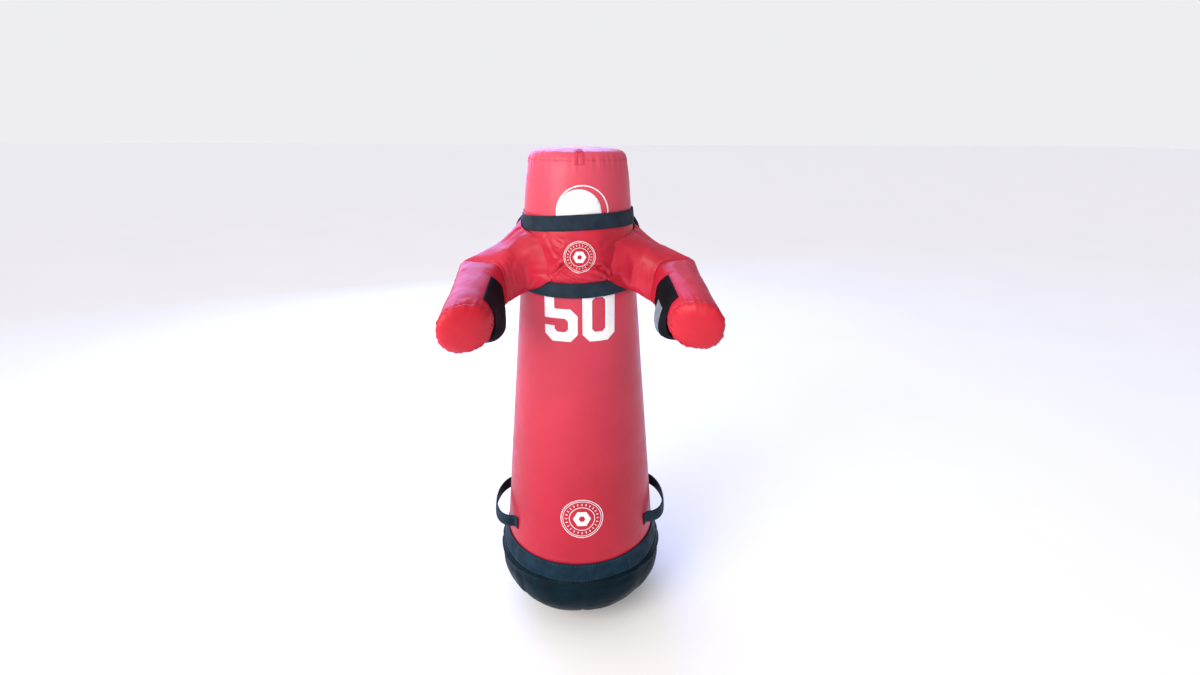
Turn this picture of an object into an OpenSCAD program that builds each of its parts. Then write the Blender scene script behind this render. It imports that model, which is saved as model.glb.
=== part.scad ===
// Self-righting tackling and grappling dummy with a strap-on foam arm harness.
// Frame: origin at the centre of the rubber foot on the ground, +Z up, front of the dummy towards -Y.

/* [Body] */
// Height of the tapered body at the edge of its top
body_h = 1500; // [1450:10:1550]
// Radius of the body at that height
top_r = 138.6; // [130:0.2:145]
// Radius of the body where it meets the boot
waist_r = 248; // [244:1:252]
// Height of the joint between the red cover and the black boot
waist_z = 281; // [275:1:290]
// Thickness of the coated fabric
cover_t = 1.2; // [0.8:0.1:1.5]
// Rounding of the top edge
top_round = 24; // [16:1:30]
// Height of the crown of the top above its edge
crown_h = 8; // [4:1:12]

/* [Boot and base] */
// Widest radius of the round base
dome_r = 271; // [265:1:280]
// Height of the widest part of the base
dome_z = 167; // [160:1:175]
// Radius of the rubber foot that the dummy rests on
foot_r = 90; // [80:1:95]
// Wall of the moulded bowl
bowl_t = 5; // [4:0.5:8]
// Lower edge of the band round the top of the boot
band_low_z = 226; // [215:1:235]
// Thickness of the band
band_t = 2.5; // [2:0.1:3]

/* [Ballast] */
// Height of the bowl's flat inner floor, under the plates
plate_floor_z = 38; // [36:1:44]
// Thickness of each steel ballast plate
plate_t = 12; // [10:1:14]
// Number of ballast plates
plate_count = 3; // [2:1:3]
// Radius of the four threaded studs
stud_r = 6; // [5:0.5:8]
// Radius of the circle that the studs stand on
stud_circle_r = 110; // [90:1:130]

/* [Straps] */
// Width of the strap webbing
strap_w = 41; // [38:1:44]
// Thickness of the strap webbing
strap_t = 2.6; // [2:0.1:3]
// Lower edge of the upper strap
upper_strap_z = 1303; // [1295:1:1310]
// Lower edge of the lower strap
lower_strap_z = 1122; // [1115:1:1128]

/* [Arms] */
// Width of an arm, level
arm_w = 124; // [118:1:128]
// Height of an arm
arm_h = 128; // [122:1:132]
// Rounding of an arm's long edges
arm_round = 34; // [28:1:40]
// Length from the shoulder point to the elbow crease
upper_len = 163; // [158:1:170]
// Turn of the upper arm forwards from straight out to the side, degrees
upper_turn = 36.2; // [32:0.2:42]
// Droop of the upper arm, degrees
upper_drop = 16; // [12:0.5:18]
// Length from the elbow crease to the hand seam
fore_len = 264; // [250:1:280]
// Turn of the forearm forwards from straight out to the side, degrees
fore_turn = 87.4; // [84:0.2:90]
// Droop of the forearm, degrees
fore_drop = 8.7; // [6:0.1:12]
// Height of the padded end of a hand
hand_bulge = 24; // [15:1:30]
// Largest swing at a shoulder, degrees
shoulder_flex = 30; // [10:1:32]
// Largest bend at an elbow, degrees
elbow_flex = 35; // [10:1:36]

/* [Handles] */
// Height of the side handles
handle_z = 350; // [345:1:355]
// Half the distance between the sewn ends of a handle
handle_half = 115; // [108:1:122]
// Width of the handle webbing
handle_w = 42; // [38:1:44]
// Thickness of the folded handle webbing
handle_t = 4; // [3:0.5:5]
// Distance that a handle stands off the body
handle_out = 48; // [44:1:50]

/* [Hidden] */
$fn = 96;
RED = "#d63a4c";
BLACK = "#22303a";
WHITE = "#f2f2f4";
FOAM = "#e8dfc4";
STEEL = "#70757a";

// Layers and clearances
gap = 0.3;                                 // between separate layers that may slide
print_t = 0.4;                             // printed marks
yoke_in = 0.9;                             // inner face of the yoke, off the cover
yoke_t = 1.9;
strap_in = yoke_in + yoke_t + gap;         // inner face of the straps, off the cover
strap_out = strap_in + strap_t;
root_in = strap_out + gap;                 // where arm roots and shoulder pads begin
tail_t = 2.2;

// Body and base levels
taper = (waist_r - top_r) / (body_h - waist_z);
lean = atan(taper);                        // lean of the body's side from upright
board_t = 18;
board_z = waist_z - 1 - board_t;
flange_t = 8;                              // inward rim of the bowl
flange_r = 222;                            // inner radius of that rim
boot_t = 1.6;
bowl_inset = band_t + 0.9;                 // outside of the bowl, in from the boot's outside
foot_h = 9.5;                              // thickness of the rubber foot
bowl_z = foot_h + boot_t + 0.6;            // underside of the bowl
core_gap = 0.4;
chest_z = 720;                             // joints between the three foam blocks
neck_z = 1130;
screw_r = 2.5;
screw_circle_r = 236;
screw_count = 8;

// Top of the body: a round shoulder that runs smoothly into a shallow crown
shoulder_z = body_h - top_round;
shoulder_r = top_r + (top_round - top_round * sin(lean)) * taper - top_round * cos(lean);
inner_crown_r = (shoulder_r * shoulder_r + crown_h * crown_h) / (2 * crown_h);
crown_edge = asin(shoulder_r / inner_crown_r);
crown_z = shoulder_z - inner_crown_r * cos(crown_edge);
seam_z = shoulder_z + top_round * sin(lean);   // seam between the tube and the top panel

function body_r(z) = top_r + (body_h - z) * taper;
function span(low, high, count) = [for (i = [0:count]) low + (high - low) * i / count];
function reversed(list) = [for (i = [len(list) - 1:-1:0]) list[i]];
function unit(v) = v / norm(v);

// Outer profile of the boot: a quarter ellipse below its widest height, a soft flare above it
function dome_profile(z) = dome_r * sqrt(1 - pow((dome_z - z) / dome_z, 2));
function flare_profile(z) =
    waist_r + 3 + (dome_r - waist_r - 3) * sin(90 * (waist_z - z) / (waist_z - dome_z));
function boot_r(z) = z < dome_z ? dome_profile(z) : flare_profile(z);
// Levels that crowd together near the low end, where the dome curves under
function dome_span(low, high, count) = [for (i = [0:count]) low + (high - low) * pow(i / count, 2)];

// Profile of the top, from the seam to the centre, moved in by inset
function top_profile(inset) = concat(
    [for (a = span(lean, 90 - crown_edge, 8))
        [shoulder_r + (top_round - inset) * cos(a), shoulder_z + (top_round - inset) * sin(a)]],
    [for (a = span(crown_edge * 0.8, 0, 4))
        [(inner_crown_r + top_round - inset) * sin(a),
         crown_z + (inner_crown_r + top_round - inset) * cos(a)]]);

// ---------- shared shapes ----------

// Section of a layer on the body, from offset a to offset b off the cover
module layer_section(a, b, low, high) {
    polygon([[body_r(low) + a, low], [body_r(low) + b, low],
             [body_r(high) + b, high], [body_r(high) + a, high]]);
}

module body_layer(a, b, low, high) {
    rotate_extrude() layer_section(a, b, low, high);
}

// Part of such a layer, half degrees to each side of the direction mid
module layer_sector(a, b, low, high, mid, half) {
    rotate([0, 0, mid - half]) rotate_extrude(angle = 2 * half) layer_section(a, b, low, high);
}

// A flat outline, x across and y up, laid on the front of the body as a thin layer
module on_front(a, b, low, high) {
    intersection() {
        body_layer(a, b, low, high);
        rotate([90, 0, 0]) linear_extrude(400) children();
    }
}

module ring_of(count, radius, start) {
    for (i = [0:count - 1])
        rotate([0, 0, start + 360 * i / count]) translate([radius, 0, 0]) children();
}

module right_side() {
    mirror([1, 0, 0]) children();
}

// ---------- base and boot ----------

module foot() {
    edge = 3;
    color("#161a1c")
        rotate_extrude()
            polygon([[0, 0], [foot_r - edge, 0], [foot_r, edge], [foot_r, foot_h - 0.1],
                     [0, foot_h - 0.1]]);
}

module boot_dome() {
    top = band_low_z - gap;
    outer = [for (z = dome_span(foot_h, top, 24)) [boot_r(z), z]];
    inner = [for (z = dome_span(foot_h + boot_t, top, 24)) [boot_r(z) - boot_t, z]];
    color(BLACK)
        rotate_extrude()
            polygon(concat([[0, foot_h]], outer, reversed(inner), [[0, foot_h + boot_t]]));
}

module boot_band() {
    outer = [for (z = span(band_low_z, waist_z, 8)) [boot_r(z), z]];
    inner = [for (p = outer) p - [band_t, 0]];
    color("#27343f") rotate_extrude() polygon(concat(outer, reversed(inner)));
}

// The bowl's shape, moved in from the boot by inset
module bowl_shape(inset, low, high) {
    side = [for (z = dome_span(low, high, 18)) [boot_r(z) - inset, z]];
    rotate_extrude() polygon(concat([[0, low]], side, [[0, high]]));
}

module base_bowl() {
    rim = board_z - gap;
    color("#3a3d40")
        difference() {
            bowl_shape(bowl_inset, bowl_z, rim);
            bowl_shape(bowl_inset + bowl_t, plate_floor_z, rim - flange_t);
            translate([0, 0, rim - flange_t - 1]) cylinder(r = flange_r, h = flange_t + 2);
            ring_of(screw_count, screw_circle_r, 0)
                translate([0, 0, rim - flange_t - 1]) cylinder(r = screw_r + 0.05, h = flange_t + 2);
            ring_of(4, stud_circle_r, 45)
                translate([0, 0, bowl_z + 8]) cylinder(r = stud_r + 0.05, h = 40);
        }
}

plate_step = plate_t + 0.2;
plate_z = plate_floor_z + 0.2;
stack_z = plate_z + plate_count * plate_step;
washer_t = 2.5;
nut_t = 10;

module ballast_plates() {
    color(STEEL)
        for (i = [0:plate_count - 1]) {
            low = plate_z + i * plate_step;
            translate([0, 0, low])
                difference() {
                    cylinder(r = boot_r(low) - bowl_inset - bowl_t - 4, h = plate_t);
                    ring_of(4, stud_circle_r, 45)
                        translate([0, 0, -1]) cylinder(r = stud_r + 1, h = plate_t + 2);
                }
        }
}

module ballast_studs() {
    color(STEEL)
        ring_of(4, stud_circle_r, 45)
            translate([0, 0, bowl_z + 8.2])
                cylinder(r = stud_r, h = stack_z + washer_t + nut_t + 6 - bowl_z - 8.2);
}

module ballast_washers() {
    color(STEEL)
        ring_of(4, stud_circle_r, 45)
            translate([0, 0, stack_z])
                difference() {
                    cylinder(r = 2.2 * stud_r, h = washer_t);
                    translate([0, 0, -1]) cylinder(r = stud_r + 0.4, h = washer_t + 2);
                }
}

module ballast_nuts() {
    color(STEEL)
        ring_of(4, stud_circle_r, 45)
            translate([0, 0, stack_z + washer_t + 0.1])
                difference() {
                    cylinder(r = 1.8 * stud_r, h = nut_t, $fn = 6);
                    translate([0, 0, -1]) cylinder(r = stud_r + 0.1, h = nut_t + 2);
                }
}

module bowl_filler() {
    low = stack_z + washer_t + nut_t + 8;
    color(FOAM) bowl_shape(bowl_inset + bowl_t + 1, low, board_z - gap - flange_t - 0.5);
}

module screw_shape(extra) {
    head = 3;
    ring_of(screw_count, screw_circle_r, 0) {
        translate([0, 0, board_z - flange_t]) cylinder(r = screw_r + extra, h = board_t + flange_t);
        translate([0, 0, board_z + board_t - head])
            cylinder(r1 = screw_r + extra, r2 = screw_r + head + extra, h = head);
    }
}

module base_board() {
    color("#c9a26b")
        difference() {
            translate([0, 0, board_z])
                cylinder(r = body_r(board_z + board_t) - cover_t - 0.3, h = board_t);
            translate([0, 0, 0.01]) screw_shape(0.05);
        }
}

module board_screws() {
    color("#b8bcc0") translate([0, 0, -0.05]) screw_shape(0);
}

// ---------- foam core and cover ----------

module foam_block(low, high) {
    color(FOAM)
        rotate_extrude()
            polygon([[0, low], [body_r(low) - cover_t - core_gap, low],
                     [body_r(high) - cover_t - core_gap, high], [0, high]]);
}

module lower_foam() { foam_block(board_z + board_t + core_gap, chest_z - core_gap / 2); }
module middle_foam() { foam_block(chest_z + core_gap / 2, neck_z - core_gap / 2); }

module head_foam() {
    low = neck_z + core_gap / 2;
    inset = cover_t + core_gap;
    color(FOAM)
        rotate_extrude()
            polygon(concat([[0, low], [body_r(low) - inset, low]], top_profile(inset)));
}

module cover_tube() {
    color(RED) body_layer(-cover_t, 0, board_z, seam_z - 0.2);
}

module cover_top() {
    color(RED)
        rotate_extrude() polygon(concat(top_profile(0), reversed(top_profile(cover_t))));
}

// Piping cord sewn into the seam under the round of the top
module top_piping() {
    r = 1.5;
    color("#b82c40") rotate_extrude() translate([body_r(seam_z) + r + 0.1, seam_z]) circle(r = r);
}

// Folded webbing tab on the front of the top edge, with a small loop to lift the cover by.
// Its skirt stands off the body far enough to pass over the piping.
module hang_tab() {
    half = 6;
    inner = 0.3;
    tab_t = 2;
    skirt = 18;
    over = 3.4;
    loop_r = 7;
    front = [for (i = [2:10]) top_profile(-inner - tab_t)[i]];
    back = [for (i = [1:10]) top_profile(-inner)[i]];
    hem_r = body_r(seam_z - skirt) + over;
    bend_r = body_r(seam_z) + over;
    color("#c8323f") {
        rotate([0, 0, -90 - half])
            rotate_extrude(angle = 2 * half)
                polygon(concat([[hem_r + tab_t, seam_z - skirt], [bend_r + tab_t, seam_z + 2.5]],
                               front, reversed(back),
                               [[bend_r, seam_z + 2], [hem_r, seam_z - skirt]]));
        translate([0, -shoulder_r - 4, shoulder_z + top_round + 1])
            rotate([0, 90, 0])
                difference() {
                    cylinder(r = loop_r, h = 24, center = true);
                    cylinder(r = loop_r - 2, h = 30, center = true);
                    translate([loop_r - 0.3, 0, 0])
                        cube([2 * loop_r, 30, 30], center = true);
                }
    }
}

// ---------- back zip ----------

zip_low_z = 322;
zip_high_z = 1085;
slider_z = 352;

// Local frame on the back of the body: y' out of the cover, z' up along it
module on_back(z) {
    translate([0, body_r(z), z]) rotate([lean, 0, 0]) children();
}

module zip_tape() {
    color("#1c2126")
        intersection() {
            body_layer(gap, 1.5, zip_low_z, zip_high_z);
            translate([-16, 0, zip_low_z]) cube([32, 300, zip_high_z - zip_low_z]);
        }
}

module zip_coil() {
    color("#2a2f34")
        on_back(zip_low_z) translate([-2.5, 1.7, 6]) cube([5, 1.8, zip_high_z - zip_low_z - 12]);
}

puller_y = 8.1;
module zip_slider() {
    color("#9aa0a6")
        on_back(slider_z) {
            difference() {
                translate([-6.5, 1.9, -10]) cube([13, 4.3, 20]);
                translate([-3.2, 1.5, -11]) cube([6.4, 2.5, 22]);
            }
            difference() {
                translate([-1.5, 6.2, -2.5]) cube([3, 4, 5]);
                translate([-2, puller_y, 0]) rotate([0, 90, 0]) cylinder(r = 1.1, h = 4, $fn = 32);
            }
        }
}

// Hangs from the slider's lug by its own cross pin
module zip_puller() {
    color("#9aa0a6")
        on_back(slider_z) {
            translate([-3.6, puller_y, 0]) rotate([0, 90, 0]) cylinder(r = 1.03, h = 7.2, $fn = 32);
            for (x = [-3.6, 1.8])
                translate([x, puller_y - 1, -8]) cube([1.8, 2, 9]);
            translate([-4.5, puller_y - 0.8, -34]) cube([9, 1.6, 27]);
        }
}

// ---------- printed marks ----------

digit_w = 81;
digit_h = 150;
digit_stroke = 25;
digit_gap = 22;
number_z = 998;

function chamfered(w, h, c) =
    [[c, 0], [w - c, 0], [w, c], [w, h - c], [w - c, h], [c, h], [0, h - c], [0, c]];

module digit_zero() {
    s = digit_stroke;
    difference() {
        polygon(chamfered(digit_w, digit_h, 20));
        translate([s, s]) polygon(chamfered(digit_w - 2 * s, digit_h - 2 * s, 8));
    }
}

module digit_five() {
    w = digit_w;
    h = digit_h;
    s = digit_stroke;
    c = 20;
    i = 8;
    bowl = 92;
    polygon([[0, h], [w - 4, h], [w - 4, h - s], [s, h - s], [s, bowl], [w - c, bowl], [w, bowl - c],
             [w, c], [w - c, 0], [c, 0], [0, c], [0, 44], [s, 44], [s, s + i], [s + i, s],
             [w - s - i, s], [w - s, s + i], [w - s, bowl - s - i], [w - s - i, bowl - s],
             [0, bowl - s]]);
}

module chest_number() {
    color(WHITE)
        on_front(0.05, 0.05 + print_t, number_z - 5, number_z + digit_h + 5)
            translate([0, number_z]) {
                translate([-digit_w - digit_gap / 2, 0]) digit_five();
                translate([digit_gap / 2, 0]) digit_zero();
            }
}

module ring_2d(outer, inner) {
    difference() {
        circle(r = outer);
        circle(r = inner);
    }
}

// Plain round mark: two rings, a row of ticks and a hexagon
module roundel(r) {
    ring_2d(r, r * 0.94);
    ring_2d(r * 0.9, r * 0.875);
    for (a = [0:15:345])
        rotate(a) translate([r * 0.7, -r * 0.025]) square([r * 0.12, r * 0.05]);
    ring_2d(r * 0.64, r * 0.6);
    difference() {
        circle(r = r * 0.48, $fn = 6);
        circle(r = r * 0.17, $fn = 6);
    }
}

base_mark_z = 441;
base_mark_r = 68.5;
module base_roundel() {
    color(WHITE)
        on_front(0.05, 0.05 + print_t, base_mark_z - 75, base_mark_z + 75)
            translate([0, base_mark_z]) roundel(base_mark_r);
}

yoke_mark_z = 1235;
yoke_mark_r = 42.5;
module yoke_roundel() {
    face = yoke_in + yoke_t + 0.05;
    color(WHITE)
        on_front(face, face + print_t, yoke_mark_z - 50, yoke_mark_z + 50)
            translate([0, yoke_mark_z]) roundel(yoke_mark_r);
}

head_mark_z = 1348;
module head_mark() {
    color(WHITE)
        on_front(0.05, 0.05 + print_t, head_mark_z - 80, head_mark_z + 80)
            translate([0, head_mark_z]) {
                circle(r = 64);
                ring_2d(74, 70.5);
            }
}

// ---------- handles ----------

handle_chord = sqrt(pow(body_r(handle_z), 2) - pow(handle_half, 2));
handle_rise = body_r(handle_z) + handle_out - handle_chord;
loop_from = 75;        // ends of the moving loop along its curve, degrees from its middle
end_from = 81;         // where each sewn end stops

// Plan curve of a handle on the left, a degrees from its middle
function handle_point(a, inset) =
    [-handle_chord - (handle_rise - inset) * pow(cos(a), 0.8), (handle_half - inset) * sin(a)];

module handle_strip(from, to, count) {
    curve = span(from, to, count);
    translate([0, 0, handle_z - handle_w / 2])
        linear_extrude(handle_w)
            polygon(concat([for (a = curve) handle_point(a, 0)],
                           [for (a = reversed(curve)) handle_point(a, handle_t)]));
}

// Sewn end: a patch flat on the cover, and the turned-up start of the loop
module handle_end(side) {
    patch_mid = 180 - side * asin((handle_half + 14) / body_r(handle_z));
    low = handle_z - handle_w / 2;
    color(BLACK) {
        layer_sector(gap, handle_t - 1, low, low + handle_w, patch_mid, 6.5);
        difference() {
            handle_strip(side * end_from, side * 89.4, 4);
            body_layer(-40, gap, low - 2, low + handle_w + 2);
        }
    }
}

module left_handle_front_end() { handle_end(-1); }
module left_handle_rear_end() { handle_end(1); }
module right_handle_front_end() { right_side() handle_end(-1); }
module right_handle_rear_end() { right_side() handle_end(1); }
module left_handle() { color(BLACK) handle_strip(-loop_from, loop_from, 20); }
module right_handle() { right_side() left_handle(); }

// ---------- harness ----------

yoke_low_z = 1127;
yoke_high_z = 1338;
yoke_half = 98;        // degrees from the front to the yoke's side edge

module chest_yoke() {
    color(RED) layer_sector(yoke_in, yoke_in + yoke_t, yoke_low_z, yoke_high_z, -90, yoke_half);
}

module back_panel() {
    color(BLACK)
        layer_sector(yoke_in, yoke_in + yoke_t, yoke_low_z, yoke_high_z, 90, 179.6 - yoke_half);
}

module strap(low) {
    color("#33414d") body_layer(strap_in, strap_out, low, low + strap_w);
}

module upper_strap() { strap(upper_strap_z); }
module lower_strap() { strap(lower_strap_z); }

// Loose end of a strap, held by hook and loop over the back
tail_half = 22;
module strap_tail(low) {
    color("#27343f")
        layer_sector(strap_out + gap, strap_out + gap + tail_t, low + 1, low + strap_w - 1,
                     90, tail_half);
}

module upper_strap_tail() { strap_tail(upper_strap_z); }
module lower_strap_tail() { strap_tail(lower_strap_z); }

// Black padded lobe behind each shoulder
pad_low_z = 1168;
pad_high_z = 1322;
pad_bulge = 36;
module shoulder_pad() {
    height = pad_high_z - pad_low_z;
    lobe = [for (z = span(pad_low_z, pad_high_z, 12))
        [body_r(z) + root_in + pad_bulge * pow(sin(180 * (z - pad_low_z) / height), 0.6), z]];
    color(BLACK)
        rotate([0, 0, 132])
            rotate_extrude(angle = 36)
                polygon(concat([[body_r(pad_low_z) + root_in, pad_low_z]], lobe,
                               [[body_r(pad_high_z) + root_in, pad_high_z]]));
}

module left_shoulder_pad() { shoulder_pad(); }
module right_shoulder_pad() { right_side() shoulder_pad(); }

// ---------- arms: lofts of rounded-square sections ----------

shoulder = [-138, -31, 1198];
function heading(turn, drop) = [-cos(drop) * cos(turn), -cos(drop) * sin(turn), -sin(drop)];
function inner_of(u) = unit(cross([0, 0, 1], u));
function top_of(u) = cross(u, inner_of(u));
upper_dir = heading(upper_turn, upper_drop);
fore_dir = heading(fore_turn, fore_drop);
elbow = shoulder + upper_len * upper_dir;
hand = elbow + fore_len * fore_dir;
mitre_mid = unit(inner_of(upper_dir) + inner_of(fore_dir));
mitre_in = mitre_mid / (mitre_mid * inner_of(upper_dir));
mitre_up = unit(top_of(upper_dir) + top_of(fore_dir));
swing_at = 79;         // shoulder flex, from the shoulder point
bend_at = 70;          // elbow flex, from the elbow crease
swing_gap = arm_w / 2 * tan(shoulder_flex / 2) + 1;   // half the gap in the foam at each flex
bend_gap = arm_w / 2 * tan(elbow_flex / 2) + 1;
hand_skew = 0.4;       // the inner side of a hand is this much shorter, per unit of width
hand_round = 44;
foam_inset = cover_t + 0.4;

// Rounded square as a list of [across, up], counter-clockwise
function rounded(w, h, r) = [for (i = [0:3]) for (k = [0:6])
    [[1, -1, -1, 1][i] * (w / 2 - r) + r * cos(90 * i + 15 * k),
     [1, 1, -1, -1][i] * (h / 2 - r) + r * sin(90 * i + 15 * k)]];
function placed(outline, centre, across, up) = [for (p = outline) centre + p[0] * across + p[1] * up];

function arm_outline(inset) = rounded(arm_w - 2 * inset, arm_h - 2 * inset, arm_round - inset);
function hand_outline(inset) = rounded(arm_w - 2 - 2 * inset, arm_h - 2 - 2 * inset, hand_round - inset);
function upper_ring(along, inset) =
    placed(arm_outline(inset), shoulder + along * upper_dir, inner_of(upper_dir), top_of(upper_dir));
function mitre_ring(inset) = placed(arm_outline(inset), elbow, mitre_in, mitre_up);
function fore_ring(along, inset) =
    placed(arm_outline(inset), elbow + along * fore_dir, inner_of(fore_dir), top_of(fore_dir));
function hand_ring(inset, shift) =
    placed(hand_outline(inset), hand + shift * fore_dir,
           inner_of(fore_dir) - hand_skew * fore_dir, top_of(fore_dir));

// Solid through a list of rings with equal point counts
module loft(rings) {
    m = len(rings[0]);
    last = (len(rings) - 1) * m;
    sides = [for (j = [0:len(rings) - 2]) for (i = [0:m - 1])
        let (a = j * m + i, b = j * m + (i + 1) % m)
            each [[a, a + m, b], [b, a + m, b + m]]];
    polyhedron(points = [for (ring = rings) each ring],
               faces = concat([[for (i = [0:m - 1]) i]], sides, [[for (i = [m - 1:-1:0]) last + i]]));
}

// Open sleeve between two matching lists of rings
module sleeve(outer, inner) {
    m = len(outer[0]);
    n = len(outer);
    all = n * m;
    walls = [for (j = [0:n - 2]) for (i = [0:m - 1])
        let (a = j * m + i, b = j * m + (i + 1) % m)
            each [[a, a + m, b], [b, a + m, b + m],
                  [all + a, all + b, all + a + m], [all + b, all + b + m, all + a + m]]];
    rims = [for (i = [0:m - 1])
        let (k = (i + 1) % m, e = (n - 1) * m)
            each [[i, k, all + i], [k, all + k, all + i],
                  [e + i, all + e + i, e + k], [e + k, all + e + i, all + e + k]]];
    polyhedron(points = concat([for (ring = outer) each ring], [for (ring = inner) each ring]),
               faces = concat(walls, rims));
}

// The body with its harness layers, cut away from the arm roots
module root_cut(offset) {
    body_layer(-100, offset, 1060, 1340);
}

root_start = -30;
module shoulder_sleeve() {
    stations = [root_start, swing_at - swing_gap];
    color(RED)
        difference() {
            sleeve([for (t = stations) upper_ring(t, 0)], [for (t = stations) upper_ring(t, cover_t)]);
            root_cut(root_in);
        }
}

module shoulder_foam() {
    stations = [root_start, swing_at - swing_gap - 1];
    color(FOAM)
        difference() {
            loft([for (t = stations) upper_ring(t, foam_inset)]);
            root_cut(root_in + 0.4);
        }
}

function elbow_rings(inset, trim) = [upper_ring(swing_at + swing_gap + trim, inset), mitre_ring(inset),
    fore_ring(bend_at - bend_gap - trim, inset)];
module elbow_sleeve() { color(RED) sleeve(elbow_rings(0, 0), elbow_rings(cover_t, 0)); }
module elbow_foam() { color(FOAM) loft(elbow_rings(foam_inset, 1)); }

function forearm_rings(inset, trim) =
    [fore_ring(bend_at + bend_gap + trim, inset), hand_ring(inset, -0.3 - trim)];
module forearm_sleeve() { color(RED) sleeve(forearm_rings(0, 0), forearm_rings(cover_t, 0)); }
module forearm_foam() { color(FOAM) loft(forearm_rings(foam_inset, 1)); }

// Padded end of the hand, domed past its seam
module hand_end() {
    color(RED)
        loft([for (a = [0, 20, 40, 60, 75])
            placed([for (p = hand_outline(0)) p * pow(cos(a), 0.6)], hand + hand_bulge * sin(a) * fore_dir,
                   inner_of(fore_dir) - hand_skew * fore_dir, top_of(fore_dir))]);
}

// Part of the arm outline from its upper inner edge, down the inner face and under the arm
function wrap_outline(out) =
    let (w = arm_w / 2 - arm_round, h = arm_h / 2 - arm_round, r = arm_round + out)
        concat([for (a = [60:-15:0]) [w + r * cos(a), h + r * sin(a)]],
               [for (a = [0:-15:-90]) [w + r * cos(a), -h + r * sin(a)]],
               [[-10, -h - r]]);
function face_outline(out) =
    [for (y = [36, 12, -12, -36]) [arm_w / 2 + out, y]];
// A strip on the forearm between two stations: its section is the band between two outlines
module forearm_strip(from, to, outer, inner) {
    a = inner_of(fore_dir);
    b = top_of(fore_dir);
    u = fore_dir;
    at = elbow + from * u;
    multmatrix([[a[0], b[0], u[0], at[0]], [a[1], b[1], u[1], at[1]], [a[2], b[2], u[2], at[2]]])
        linear_extrude(to - from)
            polygon(concat(inner, reversed(outer)));
}

grip_from = 92;
grip_to = 218;
grip_t = 3.2;
module grip_panel() {
    color(BLACK) forearm_strip(grip_from, grip_to, wrap_outline(gap + grip_t), wrap_outline(gap));
}

module hook_strip() {
    low = gap + grip_t + 0.1;
    color("#7d8a94") forearm_strip(136, 182, face_outline(low + 1.4), face_outline(low));
}

module left_shoulder_sleeve() { shoulder_sleeve(); }
module left_shoulder_foam() { shoulder_foam(); }
module left_elbow_sleeve() { elbow_sleeve(); }
module left_elbow_foam() { elbow_foam(); }
module left_forearm_sleeve() { forearm_sleeve(); }
module left_forearm_foam() { forearm_foam(); }
module left_hand_end() { hand_end(); }
module left_grip_panel() { grip_panel(); }
module right_shoulder_sleeve() { right_side() shoulder_sleeve(); }
module right_shoulder_foam() { right_side() shoulder_foam(); }
module right_elbow_sleeve() { right_side() elbow_sleeve(); }
module right_elbow_foam() { right_side() elbow_foam(); }
module right_forearm_sleeve() { right_side() forearm_sleeve(); }
module right_forearm_foam() { right_side() forearm_foam(); }
module right_hand_end() { right_side() hand_end(); }
module right_grip_panel() { right_side() grip_panel(); }
module right_hook_strip() { right_side() hook_strip(); }

foot();
boot_dome();
boot_band();
base_bowl();
bowl_filler();
ballast_plates();
ballast_studs();
ballast_washers();
ballast_nuts();
base_board();
board_screws();
lower_foam();
middle_foam();
head_foam();
cover_tube();
cover_top();
top_piping();
hang_tab();
zip_tape();
zip_coil();
zip_slider();
zip_puller();
chest_number();
base_roundel();
head_mark();
left_handle_front_end();
left_handle_rear_end();
right_handle_front_end();
right_handle_rear_end();
left_handle();
right_handle();
chest_yoke();
back_panel();
yoke_roundel();
upper_strap();
lower_strap();
upper_strap_tail();
lower_strap_tail();
left_shoulder_pad();
right_shoulder_pad();
left_shoulder_sleeve();
left_shoulder_foam();
left_elbow_sleeve();
left_elbow_foam();
left_forearm_sleeve();
left_forearm_foam();
left_hand_end();
left_grip_panel();
right_shoulder_sleeve();
right_shoulder_foam();
right_elbow_sleeve();
right_elbow_foam();
right_forearm_sleeve();
right_forearm_foam();
right_hand_end();
right_grip_panel();
right_hook_strip();
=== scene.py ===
import math

import bmesh
import bpy
import numpy as np
from mathutils import Matrix, Vector, noise


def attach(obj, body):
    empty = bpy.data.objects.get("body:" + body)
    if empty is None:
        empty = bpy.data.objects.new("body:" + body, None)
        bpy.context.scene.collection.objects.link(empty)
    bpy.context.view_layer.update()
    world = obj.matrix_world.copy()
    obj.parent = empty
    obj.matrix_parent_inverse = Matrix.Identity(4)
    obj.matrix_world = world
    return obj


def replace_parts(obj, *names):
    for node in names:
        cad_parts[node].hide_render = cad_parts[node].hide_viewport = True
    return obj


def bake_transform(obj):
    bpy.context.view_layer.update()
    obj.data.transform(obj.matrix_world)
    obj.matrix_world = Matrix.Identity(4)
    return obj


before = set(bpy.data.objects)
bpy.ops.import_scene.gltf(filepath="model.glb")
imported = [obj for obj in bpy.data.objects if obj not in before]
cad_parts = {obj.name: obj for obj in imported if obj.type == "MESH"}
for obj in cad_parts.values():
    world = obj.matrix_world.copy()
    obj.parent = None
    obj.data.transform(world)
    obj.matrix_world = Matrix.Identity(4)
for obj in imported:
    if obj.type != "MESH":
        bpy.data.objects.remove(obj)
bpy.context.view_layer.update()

# ---- Foam core of the body ----
# Three blocks of open-cell polyether foam, sawn from a bun, turned to the cone and glued flat on
# flat. They fill the cover tightly and are never seen once the zip is closed.
MM = 0.001                      # every size below is in millimetres
BODY_TOP, TOP_RADIUS = 1500, 138.6
TAPER = (248 - TOP_RADIUS) / (BODY_TOP - 281)
LEAN = math.atan(TAPER)         # the side leans inwards by this much
EDGE_ROUND, CROWN = 24, 8       # rounding of the top edge, and rise of the top's crown


def body_radius(z):
    """Radius of the coned body at a height."""
    return TOP_RADIUS + (BODY_TOP - z) * TAPER


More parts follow.
